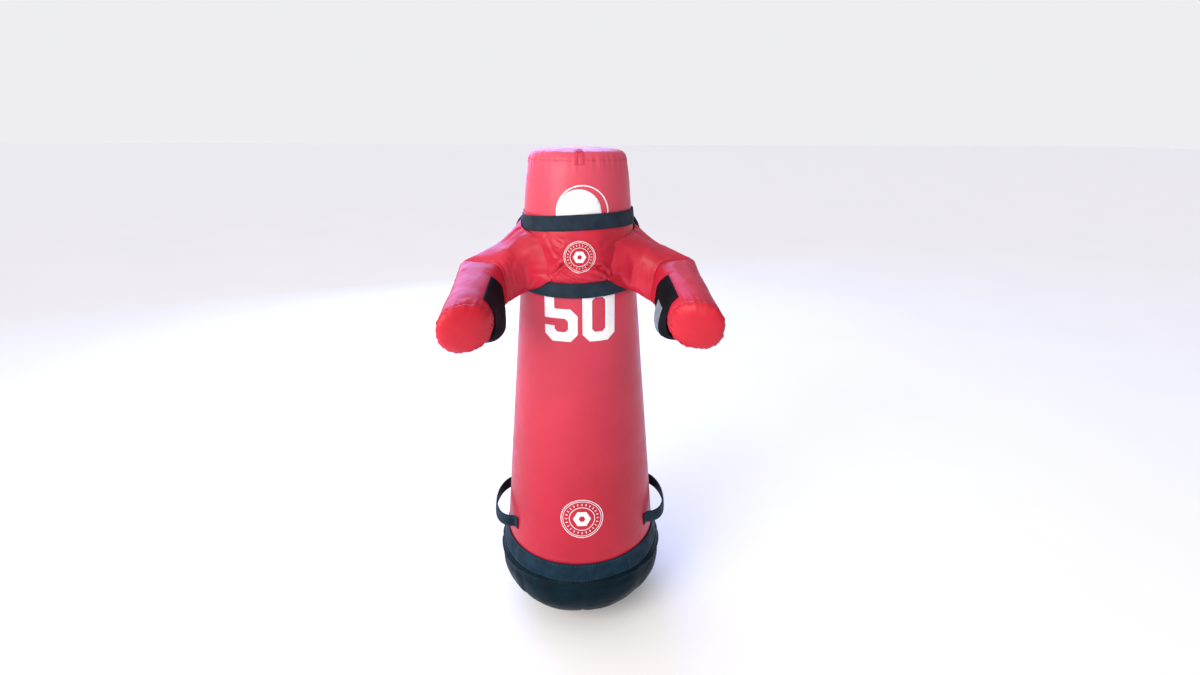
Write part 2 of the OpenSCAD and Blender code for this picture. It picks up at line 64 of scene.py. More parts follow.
def polar(angle, radius, z):
    """Points round the body's axis; angle 0 is the front and grows towards +X."""
    return np.stack(np.broadcast_arrays(radius * np.sin(angle), -radius * np.cos(angle), z), -1)


def all_round(count):
    return np.linspace(-math.pi, math.pi, count, endpoint=False)


def lumps(points, size, seed=0):
    """Smooth noise from -1 to 1 at each point, in lumps of about that size."""
    flat = np.asarray(points, float).reshape(-1, 3) / size + 17.3 * seed
    return np.array([noise.noise(Vector(p)) for p in flat]).reshape(np.shape(points)[:-1])


def new_piece(name, points, faces, uvs=None):
    """A smooth mesh piece from points in millimetres; uvs is a flat position per face corner."""
    mesh = bpy.data.meshes.new(name)
    mesh.from_pydata((np.asarray(points, float).reshape(-1, 3) * MM).tolist(), [], faces)
    if uvs is not None:
        layer = mesh.uv_layers.new(name="flat_mm")
        layer.data.foreach_set("uv", np.asarray(uvs, np.float32).ravel())
    mesh.polygons.foreach_set("use_smooth", [True] * len(mesh.polygons))
    piece = bpy.data.objects.new(name, mesh)
    bpy.context.scene.collection.objects.link(piece)
    return piece


def grid_piece(name, rows, around=False, loop=False, mirror=False):
    """Quads through a (rows, columns, 3) array whose columns run anticlockwise seen from the
    end of the rows. around joins the last column to the first, and loop the last row. Its
    flat_mm map holds millimetres along the columns and the rows."""
    rows = np.array(rows, float)
    if mirror:
        rows = rows[:, ::-1] * (-1, 1, 1)
    n, m = rows.shape[:2]
    shut = np.concatenate([rows, rows[:, :1]], 1)
    shut = np.concatenate([shut, shut[:1]])
    u = np.r_[0, np.cumsum(np.linalg.norm(np.diff(shut[n // 2], axis=0), axis=1))]
    v = np.r_[0, np.cumsum(np.linalg.norm(np.diff(shut[:, m // 2], axis=0), axis=1))]
    faces, uvs = [], []
    for j in range(n if loop else n - 1):
        for i in range(m if around else m - 1):
            a, b, k = j * m, (j + 1) % n * m, (i + 1) % m
            faces.append((a + i, a + k, b + k, b + i))
            uvs += [(u[i], v[j]), (u[i + 1], v[j]), (u[i + 1], v[j + 1]), (u[i], v[j + 1])]
    return new_piece(name, rows, faces, uvs)


def close_ends(piece):
    """Shuts the open rims of a mesh, so that it is one closed body."""
    bm = bmesh.new()
    bm.from_mesh(piece.data)
    bmesh.ops.holes_fill(bm, edges=[e for e in bm.edges if e.is_boundary])
    bmesh.ops.recalc_face_normals(bm, faces=bm.faces)
    bm.to_mesh(piece.data)
    bm.free()
    return piece


def shell(piece, thickness, outwards=False):
    """Gives a surface a cloth's thickness, inwards unless it says outwards."""
    solid = piece.modifiers.new("thickness", "SOLIDIFY")
    solid.thickness, solid.offset = thickness * MM, 1 if outwards else -1
    return piece


def linear(hex_colour):
    """Linear RGBA of an sRGB hex value."""
    parts = [int(hex_colour[i:i + 2], 16) / 255 for i in (1, 3, 5)]
    return [c / 12.92 if c <= 0.04045 else ((c + 0.055) / 1.055) ** 2.4 for c in parts] + [1.0]


def add(tree, kind, inputs=(), **settings):
    """Adds a node; inputs are values or the sockets that feed them."""
    made = tree.nodes.new(kind)
    for key, value in settings.items():
        setattr(made, key, value)
    for key, value in dict(inputs).items():
        if isinstance(value, bpy.types.NodeSocket):
            tree.links.new(value, made.inputs[key])
        else:
            made.inputs[key].default_value = value
    return made


def start_material(name):
    """An empty material, its node tree, and the object's own coordinates in metres."""
    made = bpy.data.materials.new(name)
    made.use_nodes = True
    made.node_tree.nodes.clear()
    return made, made.node_tree, add(made.node_tree, "ShaderNodeTexCoord").outputs["Object"]


def finish_material(made, shader):
    tree = made.node_tree
    add(tree, "ShaderNodeOutputMaterial", {"Surface": shader.outputs["BSDF"]})
    return made


def drift(tree, where, size, light, dark, detail=3.0, low=0.35, high=0.65):
    """Two tones of one colour that change over about size millimetres, and the dark one's share."""
    cloud = add(tree, "ShaderNodeTexNoise",
                {"Vector": where, "Scale": 1000 / size, "Detail": detail, "Roughness": 0.55})
    share = add(tree, "ShaderNodeMapRange",
                {"Value": cloud.outputs[0], "From Min": low, "From Max": high})
    tones = add(tree, "ShaderNodeMix", {0: share.outputs[0], 6: linear(light), 7: linear(dark)},
                data_type="RGBA")
    return tones.outputs[2], share.outputs[0]


def cell_foam(name, light, dark):
    """Open-cell polyether foam: matt, with open cells of 1 to 2 mm cut through by the saw."""
    made, tree, where = start_material(name)
    colour, _ = drift(tree, where, 60, light, dark)
    cells = add(tree, "ShaderNodeTexVoronoi", {"Vector": where, "Scale": 1000 / 2.0})
    dents = add(tree, "ShaderNodeBump",
                {"Height": cells.outputs["Distance"], "Strength": 0.5, "Distance": 0.0008})
    return finish_material(made, add(tree, "ShaderNodeBsdfPrincipled", {
        "Base Color": colour, "Roughness": 0.92, "IOR": 1.45, "Normal": dents.outputs[0]}))


core_foam = cell_foam("polyether_foam_cream", "#f0e6c8", "#dccfa8")


def paint(piece, material):
    piece.data.materials.clear()
    piece.data.materials.append(material)
    return piece


def turned_block(name, low, high, inset=7, broken=4, face=40):
    """A coned block that fits inside the cover, with its long edges broken by the saw."""
    foot, head = body_radius(low) - inset, body_radius(high) - inset
    profile = [(foot - face, low), (foot - broken, low), (foot, low + broken)]
    profile += [(body_radius(z) - inset, z) for z in np.linspace(low + face, high - face, 6)]
    profile += [(head, high - broken), (head - broken, high), (head - face, high)]
    rows = [polar(all_round(72), r, z) for r, z in profile]
    return close_ends(grid_piece(name, rows, around=True))


for node, low, high in (("lower_foam", 280.4, 719.8), ("middle_foam", 720.2, 1129.8),
                        ("head_foam", 1130.2, 1492)):
    block = turned_block(node + "_block", low, high)
    paint(block, core_foam)
    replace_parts(block, node)
    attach(block, "dummy")

# ---- Red cover of the body ----
# Knife-coated PVC on a polyester scrim, about 1.2 mm thick, sewn to a tapered tube. It is
# stretched tight over the foam, and gathers a little where the round top is sewn in.
SEAM_HEIGHT = 1478.1            # seam between the tube and the top panel
HEM_HEIGHT = 281                # bottom edge of the tube, under the band


def coated_vinyl(name, light, dark, roughness=0.36, grain=1.6, painted_sky_sheen=None):
    """PVC-coated polyester: a satin skin over a woven scrim. The coating levels most of the
    weave, so it shows as a fine pebble; the real 0.5 mm threads are drawn coarser to be seen.
    Long slack ripples and rubbed patches break up its reflections. Where a pale tint is given,
    the colour is painted paler towards it higher up the piece: a painted sheen of sky light."""
    made, tree, where = start_material(name)
    colour, _ = drift(tree, where, 160, light, dark)
    # painted sky sheen: the red is mixed paler towards the given tint from 0.45 m up to 1.5 m
    if painted_sky_sheen:
        height = add(tree, "ShaderNodeSeparateXYZ", {0: where}).outputs["Z"]
        sheen_share = add(tree, "ShaderNodeMapRange", {
            "Value": height, "From Min": 0.45, "From Max": 1.5})
        colour = add(tree, "ShaderNodeMix", {0: sheen_share.outputs[0], 6: colour, 7: linear(painted_sky_sheen)},
                     data_type="RGBA").outputs[2]
    rubbed = add(tree, "ShaderNodeTexNoise",
                 {"Vector": where, "Scale": 1000 / 45, "Detail": 4.0, "Roughness": 0.6})
    satin = add(tree, "ShaderNodeMapRange", {
        "Value": rubbed.outputs[0], "From Min": 0.3, "From Max": 0.7,
        "To Min": roughness - 0.05, "To Max": roughness + 0.08})
    pebble = add(tree, "ShaderNodeTexVoronoi",
                 {"Vector": where, "Scale": 1000 / grain}, feature="SMOOTH_F1")
    ripple = add(tree, "ShaderNodeTexNoise",
                 {"Vector": where, "Scale": 1000 / 26, "Detail": 2.0, "Distortion": 0.6})
    fine = add(tree, "ShaderNodeBump", {
        "Height": pebble.outputs["Distance"], "Strength": 0.12, "Distance": 0.0005})
    slack = add(tree, "ShaderNodeBump", {
        "Height": ripple.outputs[0], "Strength": 0.35, "Distance": 0.0016,
        "Normal": fine.outputs[0]})
    return finish_material(made, add(tree, "ShaderNodeBsdfPrincipled", {
        "Base Color": colour, "Roughness": satin.outputs[0], "IOR": 1.53,
        "Specular IOR Level": 0.28, "Normal": slack.outputs[0]}))


# the body cover's upper half is painted paler, a painted sheen of sky light on it
red_vinyl = coated_vinyl("pvc_coated_polyester_red", "#bb1c35", "#ad182e", painted_sky_sheen="#d44c62")


def gather(angle, waves, seed):
    """Uneven gathers round a seam, from -1 to 1, with about that many in a turn."""
    total = 0
    for k, share in ((0.62, 0.45), (1.0, 0.6), (1.47, 0.4)):
        count = round(waves * k)
        total = total + share * np.sin(count * angle + 1.7 * seed + 2.1 * k
                                       + 0.9 * np.sin((5 + seed) * angle + k))
    return total / 1.1


def cover_skin(angle, z):
    """How far the cover's face stands off the true cone."""
    place = polar(angle, body_radius(z), z)
    slack = 0.8 * lumps(place, 170, 1) + 0.35 * lumps(place, 60, 2)
    below_seam = np.clip(SEAM_HEIGHT - z, 0, None)
    tucks = 1.7 * np.exp(-below_seam / 16) * gather(angle, 40, 1) - 0.6 * np.exp(-below_seam / 5)
    tucks = tucks - 3.0 * np.exp(-(below_seam / 30) ** 2)
    hem = (-1.6 * np.exp(-np.abs(z - HEM_HEIGHT) / 5)
           + 0.8 * np.exp(-np.abs(z - HEM_HEIGHT - 12) / 8))
    return slack + tucks + hem


turn, height = np.meshgrid(all_round(220), np.r_[264:1440:110j, 1446:SEAM_HEIGHT:9j])
tube = grid_piece("body_cover", polar(turn, body_radius(height) + cover_skin(turn, height), height),
                  around=True)
shell(paint(tube, red_vinyl), 1.2)
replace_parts(tube, "cover_tube")
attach(tube, "dummy")

# ---- Top panel, piping and lifting tab ----
# A round of the same vinyl, larger than the hole it closes, so its edge puckers over the foam.
# The seam is covered by a thin red cord; a folded tab at the front has a pinched loop.
shoulder_height = BODY_TOP - EDGE_ROUND
shoulder_radius = (TOP_RADIUS + (EDGE_ROUND - EDGE_ROUND * math.sin(LEAN)) * TAPER
                   - EDGE_ROUND * math.cos(LEAN))
crown_radius = (shoulder_radius ** 2 + CROWN ** 2) / (2 * CROWN)
crown_edge = math.asin(shoulder_radius / crown_radius)
EDGE_RUN = 36                   # cloth over the rounding of the edge, for a share from 0 to 1


def top_path(share):
    """(radius, height, tilt) on the top's section: 0 at the seam, 1 at the end of the rounding,
    2 at the centre of the crown."""
    if share <= 1:
        tilt = LEAN + share * (math.pi / 2 - crown_edge - LEAN)
        return (shoulder_radius + EDGE_ROUND * math.cos(tilt),
                shoulder_height + EDGE_ROUND * math.sin(tilt), tilt)
    slope = crown_edge * (2 - share)
    centre = shoulder_height - crown_radius * math.cos(crown_edge)
    reach = crown_radius + EDGE_ROUND
    return reach * math.sin(slope), centre + reach * math.cos(slope), math.pi / 2 - slope


def top_skin(angle, share, off):
    """Puckered face of the top panel, off millimetres out from it."""
    radius, z, tilt = top_path(share)
    flat = polar(angle, radius, z)
    run = share * EDGE_RUN
    near_seam_line = math.exp(-run / 17) if share <= 1 else math.exp(-2.1 - (share - 1) * 5)
    slack = (1.3 * lumps(flat, 55, 4) + 0.6 * lumps(flat, 24, 5)) * min(1, share)
    puff = 1.7 * near_seam_line * gather(angle, 40, 1) - 0.6 * math.exp(-run / 5) + slack
    to_centre = min(1, (2 - share) * 6 + 0.15)
    puff = puff * to_centre + off - 3.5 * math.exp(-((run - 8) / 20) ** 2)
    return polar(angle, radius + puff * math.cos(tilt), z + puff * math.sin(tilt))


steps = np.r_[0:1:12j, 1.06:1.98:18j]
top = grid_piece("top_panel", [top_skin(all_round(220), s, 0) for s in steps], around=True)
close_ends(top)
shell(paint(top, red_vinyl), 1.2)
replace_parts(top, "cover_top")
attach(top, "dummy")


def unit(vectors):
    return vectors / np.linalg.norm(vectors, axis=-1, keepdims=True)


def sweep(name, path, out, section, loop=False, mirror=False):
    """Carries a closed section, points (out, across), along a path. out is the way that the
    section's first axis faces, for each point of the path."""
    path, out = np.asarray(path, float), np.asarray(out, float)
    ahead = np.roll(path, -1, 0) - np.roll(path, 1, 0) if loop else np.gradient(path, axis=0)
    ahead = unit(ahead)
    out = unit(out - np.sum(out * ahead, -1, keepdims=True) * ahead)
    across = np.cross(ahead, out)
    section = np.asarray(section, float)
    rows = (path[:, None] + section[None, :, :1] * out[:, None]
            + section[None, :, 1:] * across[:, None])
    return close_ends(grid_piece(name, rows, around=True, loop=loop, mirror=mirror))


def round_section(radius, sides=10):
    return [(radius * math.cos(t), radius * math.sin(t)) for t in all_round(sides)]


turn = all_round(220)
seam_radius = body_radius(SEAM_HEIGHT) + cover_skin(turn, np.full_like(turn, SEAM_HEIGHT)) - 0.3
seam_line = polar(turn, seam_radius, SEAM_HEIGHT + 0.4 * np.sin(7 * turn))
piping = sweep("top_piping_cord", seam_line, polar(turn, 1.0, 0), round_section(1.0), loop=True)
paint(piping, red_vinyl)
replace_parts(piping, "top_piping")
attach(piping, "dummy")


def webbing_section(width, thickness, crown=0.3):
    """Flat woven strap: square-backed, with thin rounded edges and a slight crown."""
    w, t = width / 2, thickness / 2
    return [(t * 0.7, -w + 0.4), (t + crown * 0.6, -w * 0.6), (t + crown, 0),
            (t + crown * 0.6, w * 0.6), (t * 0.7, w - 0.4), (0, w), (-t, w - 0.6),
            (-t, w * 0.4), (-t, -w * 0.4), (-t, -w + 0.6), (0, -w)]


# the tab's skirt lies below the seam and its strip follows the round of the edge
TAB_WIDE = 29
tab_rows = []
for share in np.r_[-0.3:1.3:26j]:
    across = np.linspace(-TAB_WIDE / 2, TAB_WIDE / 2, 15)
    fold = (1.3 * np.exp(-((across - 2.5) / 1.6) ** 2) - 1.4 * np.exp(-((across + 0.4) / 1.3) ** 2)
            + 1.0 * np.exp(-((across + 4) / 1.8) ** 2))
    fold = fold * (1 if share > 0.1 else max(0, 1 + (share - 0.1) * 1.6))
    if share < 0:
        z = SEAM_HEIGHT + share * EDGE_RUN
        angle = across / body_radius(z)
        tab_rows.append(polar(angle, body_radius(z) + cover_skin(angle, np.full_like(angle, z))
                              + 1.2 + fold, z))
    else:
        radius, z, tilt = top_path(share)
        angle = across / TOP_RADIUS
        base = top_skin(angle, share, 1.1)
        tab_rows.append(base + fold[:, None] * polar(angle, math.cos(tilt), math.sin(tilt)))
tab = grid_piece("hang_tab_strip", tab_rows)
shell(tab, 0.9)
# the tab's red is painted pale to match the top of the cover under its painted sky sheen
red_tape = coated_vinyl("folded_vinyl_tab_red", "#cf4158", "#c4364d", roughness=0.45)
paint(tab, red_tape)
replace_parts(tab, "hang_tab")
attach(tab, "dummy")
loop_turn = np.linspace(0, math.pi, 14)
loop_path = np.stack([6.5 * np.cos(loop_turn) + 1.5, np.full(14, -shoulder_radius - 4),
                      BODY_TOP - 1.0 + 5.2 * np.sin(loop_turn)], -1)
loop_out = np.stack([np.cos(loop_turn), np.zeros(14), np.sin(loop_turn)], -1)
pinch = sweep("hang_tab_loop", loop_path, loop_out, webbing_section(9, 1.6))
paint(pinch, red_tape)
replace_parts(pinch, "hang_tab")
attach(pinch, "dummy")

# ---- Boot over the round base ----
# Black PVC-coated nylon cut in eight gores, so that it can round under the base. It is a little
# slack: each gore puckers beside its seams, and a fold hangs below the band.
DOME_RADIUS, DOME_HEIGHT, WAIST, WAIST_RADIUS = 271, 167, 281, 251
BAND_LOW, BOOT_FOOT = 226, 9.7
GORES = 8


def boot_radius(z):
    dome = DOME_RADIUS * np.sqrt(np.clip(1 - ((DOME_HEIGHT - z) / DOME_HEIGHT) ** 2, 0, 1))
    flare = WAIST_RADIUS + (DOME_RADIUS - WAIST_RADIUS) * np.sin(
        np.pi / 2 * np.clip((WAIST - z) / (WAIST - DOME_HEIGHT), 0, 1))
    return np.where(z < DOME_HEIGHT, dome, flare)


def near_seam(angle, count, start=0.0):
    """Distance round the body, in radians, to the nearest of count even seams."""
    step = 2 * math.pi / count
    return (angle - start + step / 2) % step - step / 2


def boot_skin(angle, z):
    """Slack of the boot: full between its seams, drawn in along them, and folded at the top."""
    from_seam = np.abs(near_seam(angle, GORES)) * boot_radius(z)
    reach = np.clip((z - 12) / 60, 0, 1)
    full = 3.0 * reach * (1 - np.exp(-from_seam / 28)) - 1.4 * reach * np.exp(-(from_seam / 6) ** 2)
    spread = polar(angle, 250, z * 1.3)
    slack = reach * (2.6 * lumps(spread, 120, 7) + 1.4 * lumps(spread, 45, 8))
    sag = 22 * np.sin(angle) ** 2 + 4 * lumps(polar(angle, 120, 0 * z), 90, 9)
    fold_at = 216 - sag
    above = z - fold_at
    roll = (6.5 * np.exp(-((above - 9) / 7) ** 2)
            - 7 * np.exp(-(above / np.where(above < 0, 15, 5)) ** 2))
    under_band = -2.0 * np.exp(-np.clip(BAND_LOW - z, 0, None) / 5)
    return np.maximum(full + slack + roll + under_band, -0.8)     # it lies on the bowl inside


levels = np.r_[BOOT_FOOT:40:16j, 44:190:40j, 192.5:BAND_LOW + 5:18j]
turn, height = np.meshgrid(all_round(240), levels)
slope = np.gradient(boot_radius(levels), levels)[:, None]
tip = 1 / np.sqrt(1 + slope ** 2)
skin = boot_skin(turn, height)
skin[0] = 0
tucked = (height > BAND_LOW - 4) * 3                 # its top edge goes in behind the band
boot_rows = polar(turn, boot_radius(height) + skin * tip - tucked, height - skin * slope * tip)
centre_rows = [polar(all_round(240), r, BOOT_FOOT) for r in (4, 30, 60)]
boot = grid_piece("boot_gores", np.concatenate([centre_rows, boot_rows]), around=True)


def coated_nylon(name, light, dark, roughness=0.42):
    """PVC-coated nylon: dark satin face with a pebble of the basket weave under the coating,
    dust in its hollows, and paler scuffs where the base rocks on the ground."""
    made, tree, where = start_material(name)
    colour, cloud = drift(tree, where, 90, light, dark, detail=5.0)
    scuff = add(tree, "ShaderNodeTexNoise",
                {"Vector": where, "Scale": 1000 / 14, "Detail": 6.0, "Roughness": 0.7})
    worn = add(tree, "ShaderNodeMapRange", {
        "Value": scuff.outputs[0], "From Min": 0.58, "From Max": 0.8, "To Max": 0.12})
    dusty = add(tree, "ShaderNodeMix", {0: worn.outputs[0], 6: colour, 7: linear("#3d4f5a")},
                data_type="RGBA")
    weave = add(tree, "ShaderNodeTexVoronoi", {"Vector": where, "Scale": 1000 / 2.2})
    crush = add(tree, "ShaderNodeTexNoise", {"Vector": where, "Scale": 1000 / 34, "Detail": 3.0})
    fine = add(tree, "ShaderNodeBump", {
        "Height": weave.outputs["Distance"], "Strength": 0.25, "Distance": 0.0006})
    creased = add(tree, "ShaderNodeBump", {
        "Height": crush.outputs[0], "Strength": 0.5, "Distance": 0.004,
        "Normal": fine.outputs[0]})
    satin = add(tree, "ShaderNodeMapRange", {
        "Value": cloud, "To Min": roughness - 0.06, "To Max": roughness + 0.1})
    return finish_material(made, add(tree, "ShaderNodeBsdfPrincipled", {
        "Base Color": dusty.outputs[2], "Roughness": satin.outputs[0], "IOR": 1.5,
        "Specular IOR Level": 0.06, "Normal": creased.outputs[0]}))


boot_nylon = coated_nylon("pvc_coated_nylon_black", "#08202b", "#051720")
shell(paint(boot, boot_nylon), 1.5)
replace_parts(boot, "boot_dome")
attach(boot, "dummy")


def thread_row(name, path, out, pitch=9.0, length=6.0, width=1.3, loop=False):
    """A row of lockstitches along a path; the thread is drawn twice its real 0.7 mm so that
    the row can be seen."""
    path, out = np.asarray(path, float), unit(np.asarray(out, float))
    if loop:
        path, out = np.concatenate([path, path[:1]]), np.concatenate([out, out[:1]])
    at = np.r_[0, np.cumsum(np.linalg.norm(np.diff(path, axis=0), axis=1))]
    points, faces = [], []
    for start in np.arange(pitch / 2, at[-1] - length, pitch):
        ends = [np.array([np.interp(s, at, path[:, k]) for k in range(3)])
                for s in (start, start + length)]
        up = unit(np.array([np.interp(start, at, out[:, k]) for k in range(3)]))
        side = unit(np.cross(ends[1] - ends[0], up)) * width / 2
        mid = (ends[0] + ends[1]) / 2 + up * 0.75
        base = len(points)
        points += [ends[0] - up * 0.5, mid + side, ends[1] - up * 0.5, mid - side,
                   mid + up * 0.35, mid - up * 1.2]
        for a, b in ((0, 1), (1, 2), (2, 3), (3, 0)):
            faces += [(base + a, base + b, base + 4), (base + b, base + a, base + 5)]
    return new_piece(name, points, faces)


def sewing_thread(name, colour):
    """Bonded polyester thread: waxy, a little shiny."""
    made, tree, where = start_material(name)
    tone, _ = drift(tree, where, 12, colour, colour)
    return finish_material(made, add(tree, "ShaderNodeBsdfPrincipled", {
        "Base Color": tone, "Roughness": 0.5, "IOR": 1.53, "Sheen Weight": 0.2}))


grey_thread = sewing_thread("bonded_thread_grey", "#3f5666")
red_thread = sewing_thread("bonded_thread_red", "#a82038")

# ---- Band round the top of the boot ----
# Wide polypropylene webbing, dark navy, sewn over the raw edges of the cover and the boot.
# It is made of four lengths lapped over each other, with a row of stitches along each edge.


def webbing(name, light, dark, rib=2.4, roughness=0.62):
    """Woven polypropylene webbing: close ribs across it and rows of yarn along it, drawn a
    little coarser than the real 1.5 mm so that they show, with a soft fibre sheen."""
    made, tree, where = start_material(name)
    flat = add(tree, "ShaderNodeUVMap", uv_map="flat_mm").outputs[0]
    colour, cloud = drift(tree, where, 40, light, dark, detail=4.0)
    ribs = add(tree, "ShaderNodeTexWave", {
        "Vector": flat, "Scale": math.pi / 10 / rib, "Distortion": 0.8, "Detail": 1.0},
        bands_direction="X")
    yarns = add(tree, "ShaderNodeTexWave", {
        "Vector": flat, "Scale": math.pi / 10 / (rib * 1.6), "Distortion": 1.0, "Detail": 1.0},
        bands_direction="Y")
    both = add(tree, "ShaderNodeMath", {0: ribs.outputs[1], 1: yarns.outputs[1]},
               operation="MULTIPLY")
    weave = add(tree, "ShaderNodeBump", {
        "Height": both.outputs[0], "Strength": 0.5, "Distance": 0.0006})
    satin = add(tree, "ShaderNodeMapRange", {
        "Value": cloud, "To Min": roughness - 0.06, "To Max": roughness + 0.1})
    return finish_material(made, add(tree, "ShaderNodeBsdfPrincipled", {
        "Base Color": colour, "Roughness": satin.outputs[0], "IOR": 1.49,
        "Specular IOR Level": 0.12, "Sheen Weight": 0.02, "Sheen Roughness": 0.4,
        "Normal": weave.outputs[0]}))


band_webbing = webbing("polypropylene_webbing_navy", "#123042", "#0b2433")
LAPS = [math.radians(d) for d in (-56, 34, 124, 214)]


def band_rows(angle, z):
    """Face of the band: it follows the boot, with a step where each length laps the next."""
    step = np.zeros_like(angle)
    for lap in LAPS:
        gone = (angle - lap) % (2 * math.pi)
        step = step + 1.6 * np.exp(-gone * 250 / 26)
    slack = 0.9 * lumps(polar(angle, 250, z), 90, 11)
    edge = 0.8 * np.exp(-(z - BAND_LOW) / 5) + 0.4 * np.exp(-(WAIST - z) / 4)
    return polar(angle, boot_radius(z) + step + slack - edge + 0.5, z + 1.5 * np.sin(3 * angle + 1))


# a column of points lies just before each lap, so that its step is sharp
before_laps = [(lap + math.pi) % (2 * math.pi) - math.pi - 0.004 for lap in LAPS]
turn, height = np.meshgrid(np.sort(np.r_[all_round(240), before_laps]),
                           np.linspace(BAND_LOW - 1, WAIST + 1, 14))
band = grid_piece("boot_band_webbing", band_rows(turn, height), around=True)
shell(paint(band, band_webbing), 2.4)
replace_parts(band, "boot_band")
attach(band, "dummy")
turn = all_round(300)
for label, z in (("low", BAND_LOW + 5), ("high", WAIST - 5)):
    row = thread_row("boot_band_stitches_" + label, band_rows(turn, np.full_like(turn, z)),
                     polar(turn, 1.0, 0), loop=True)
    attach(paint(row, grey_thread), "dummy")
for k, lap in enumerate(LAPS):
    z = np.linspace(BAND_LOW + 3, WAIST - 3, 12)
    for j, offset in enumerate((0.012, 0.036)):
        line = band_rows(np.full_like(z, lap + offset), z)
        row = thread_row(f"boot_band_lap_{k}_{j}", line, polar(np.full_like(z, lap), 1.0, 0),
                         pitch=6, length=4.4)
        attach(paint(row, grey_thread), "dummy")

# ---- Printed marks on the cover ----
# White plastisol ink, screen-printed on the vinyl: two block digits on the chest, a plain round
# mark low on the front, and a disc with a ring a little to one side of it on the head.


def disc(radius, sides=72, turned=0.0):
    spin = np.linspace(0, 2 * math.pi, sides, endpoint=False) + turned
    return np.stack([radius * np.cos(spin), radius * np.sin(spin)], -1)


def print_on(name, shapes, height, face, lift=0.15, step=7):
    """Flat outlines, each a list of loops (x, z) with holes after the first, laid on the front
    of the body at a height. face(angle, z) is the radius of the surface under the ink, and step
    is how finely the ink is cut up to follow it."""
    bm = bmesh.new()
    for loops in shapes:
        edges = []
        for outline in loops:
            corners = [bm.verts.new((x, 0, z)) for x, z in outline]
            edges += [bm.edges.new((corners[i - 1], corners[i])) for i in range(len(corners))]
        bmesh.ops.triangle_fill(bm, use_beauty=True, edges=edges)
    half = max(max(abs(v.co.x), abs(v.co.z)) for v in bm.verts)
    for axis in ((1, 0, 0), (0, 0, 1)):
        for cut in np.arange(-half, half, step):
            bmesh.ops.bisect_plane(bm, geom=bm.verts[:] + bm.edges[:] + bm.faces[:],
                                   plane_co=Vector(axis) * cut, plane_no=axis)
    bm.verts.index_update()
    flat = np.array([v.co for v in bm.verts])
    faces = [[v.index for v in f.verts] for f in bm.faces]
    bm.free()
    z = flat[:, 2] + height
    radius = body_radius(z)
    for _ in range(3):
        angle = np.arcsin(np.clip(flat[:, 0] / radius, -1, 1))
        radius = face(angle, z) + lift
    piece = new_piece(name, polar(angle, radius, z), faces)
    bm = bmesh.new()
    bm.from_mesh(piece.data)
    bmesh.ops.recalc_face_normals(bm, faces=bm.faces)
    if sum(f.normal.y * f.calc_area() for f in bm.faces) > 0:
        bmesh.ops.reverse_faces(bm, faces=bm.faces)
    bm.to_mesh(piece.data)
    bm.free()
    return shell(piece, 0.35, outwards=True)


def plastisol(name, light, dark):
    """Screen-printed plastisol: a thin rubbery film of ink, evenly white, with fine cracks."""
    made, tree, where = start_material(name)
    colour, cloud = drift(tree, where, 30, light, dark, detail=5.0)
    crack = add(tree, "ShaderNodeTexVoronoi", {"Vector": where, "Scale": 1000 / 9},
                feature="DISTANCE_TO_EDGE")
    thin = add(tree, "ShaderNodeMapRange", {
        "Value": crack.outputs["Distance"], "From Max": 0.02, "To Min": 0.88, "To Max": 1.0})
    shade = add(tree, "ShaderNodeMix", {0: thin.outputs[0], 6: linear("#e5c3c9"), 7: colour},
                data_type="RGBA")
    film = add(tree, "ShaderNodeBump", {"Height": cloud, "Strength": 0.15, "Distance": 0.0008})
    return finish_material(made, add(tree, "ShaderNodeBsdfPrincipled", {
        "Base Color": shade.outputs[2], "Roughness": 0.48, "IOR": 1.5,
        "Normal": film.outputs[0]}))


white_ink = plastisol("plastisol_ink_white", "#f6f6f8", "#ecedf1")


def chamfered(w, h, c, x=0.0, z=0.0):
    corners = [(c, 0), (w - c, 0), (w, c), (w, h - c), (w - c, h), (c, h), (0, h - c), (0, c)]
    return [(x + a, z + b) for a, b in corners]


def cover_face(angle, z):
    return body_radius(z) + cover_skin(angle, z)


DIGIT_WIDE, DIGIT_HIGH, STROKE, BETWEEN = 91, 150, 27, 13
w, h, s, c, i, bowl = DIGIT_WIDE, DIGIT_HIGH, STROKE, 20, 8, 92
five = [(0, h), (w - 4, h), (w - 4, h - s), (s, h - s), (s, bowl), (w - c, bowl), (w, bowl - c),
        (w, c), (w - c, 0), (c, 0), (0, c), (0, 44), (s, 44), (s, s + i), (s + i, s),
        (w - s - i, s), (w - s, s + i), (w - s, bowl - s - i), (w - s - i, bowl - s),
        (0, bowl - s)]
five = [(x - w - BETWEEN / 2, z) for x, z in five]
zero = [chamfered(w, h, c, BETWEEN / 2), chamfered(w - 2 * s, h - 2 * s, i, BETWEEN / 2 + s, s)]
number = print_on("chest_number_ink", [[five], zero], 998, cover_face)
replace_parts(paint(number, white_ink), "chest_number")
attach(number, "dummy")


def roundel(r):
    """Plain round mark: two rings, a row of ticks, a thin ring, and a hexagon with a hole."""
    shapes = [[disc(r), disc(r * 0.965)], [disc(r * 0.91), disc(r * 0.885)],
              [disc(r * 0.61), disc(r * 0.58)], [disc(r * 0.42, 6), disc(r * 0.16, 6)]]
    for turned in np.radians(np.arange(0, 360, 15)):
        ahead = np.array([math.cos(turned), math.sin(turned)])
        side = np.array([-ahead[1], ahead[0]]) * r * 0.018
        shapes.append([[ahead * r * 0.69 - side, ahead * r * 0.8 - side,
                        ahead * r * 0.8 + side, ahead * r * 0.69 + side]])
    return shapes


base_mark = print_on("base_roundel_ink", roundel(65), 441, cover_face)
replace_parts(paint(base_mark, white_ink), "base_roundel")
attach(base_mark, "dummy")
aside = (9, 0)
head_mark = print_on("head_mark_ink", [[disc(59)], [disc(70) + aside, disc(66.5) + aside]], 1348,
                     cover_face)
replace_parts(paint(head_mark, white_ink), "head_mark")
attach(head_mark, "dummy")

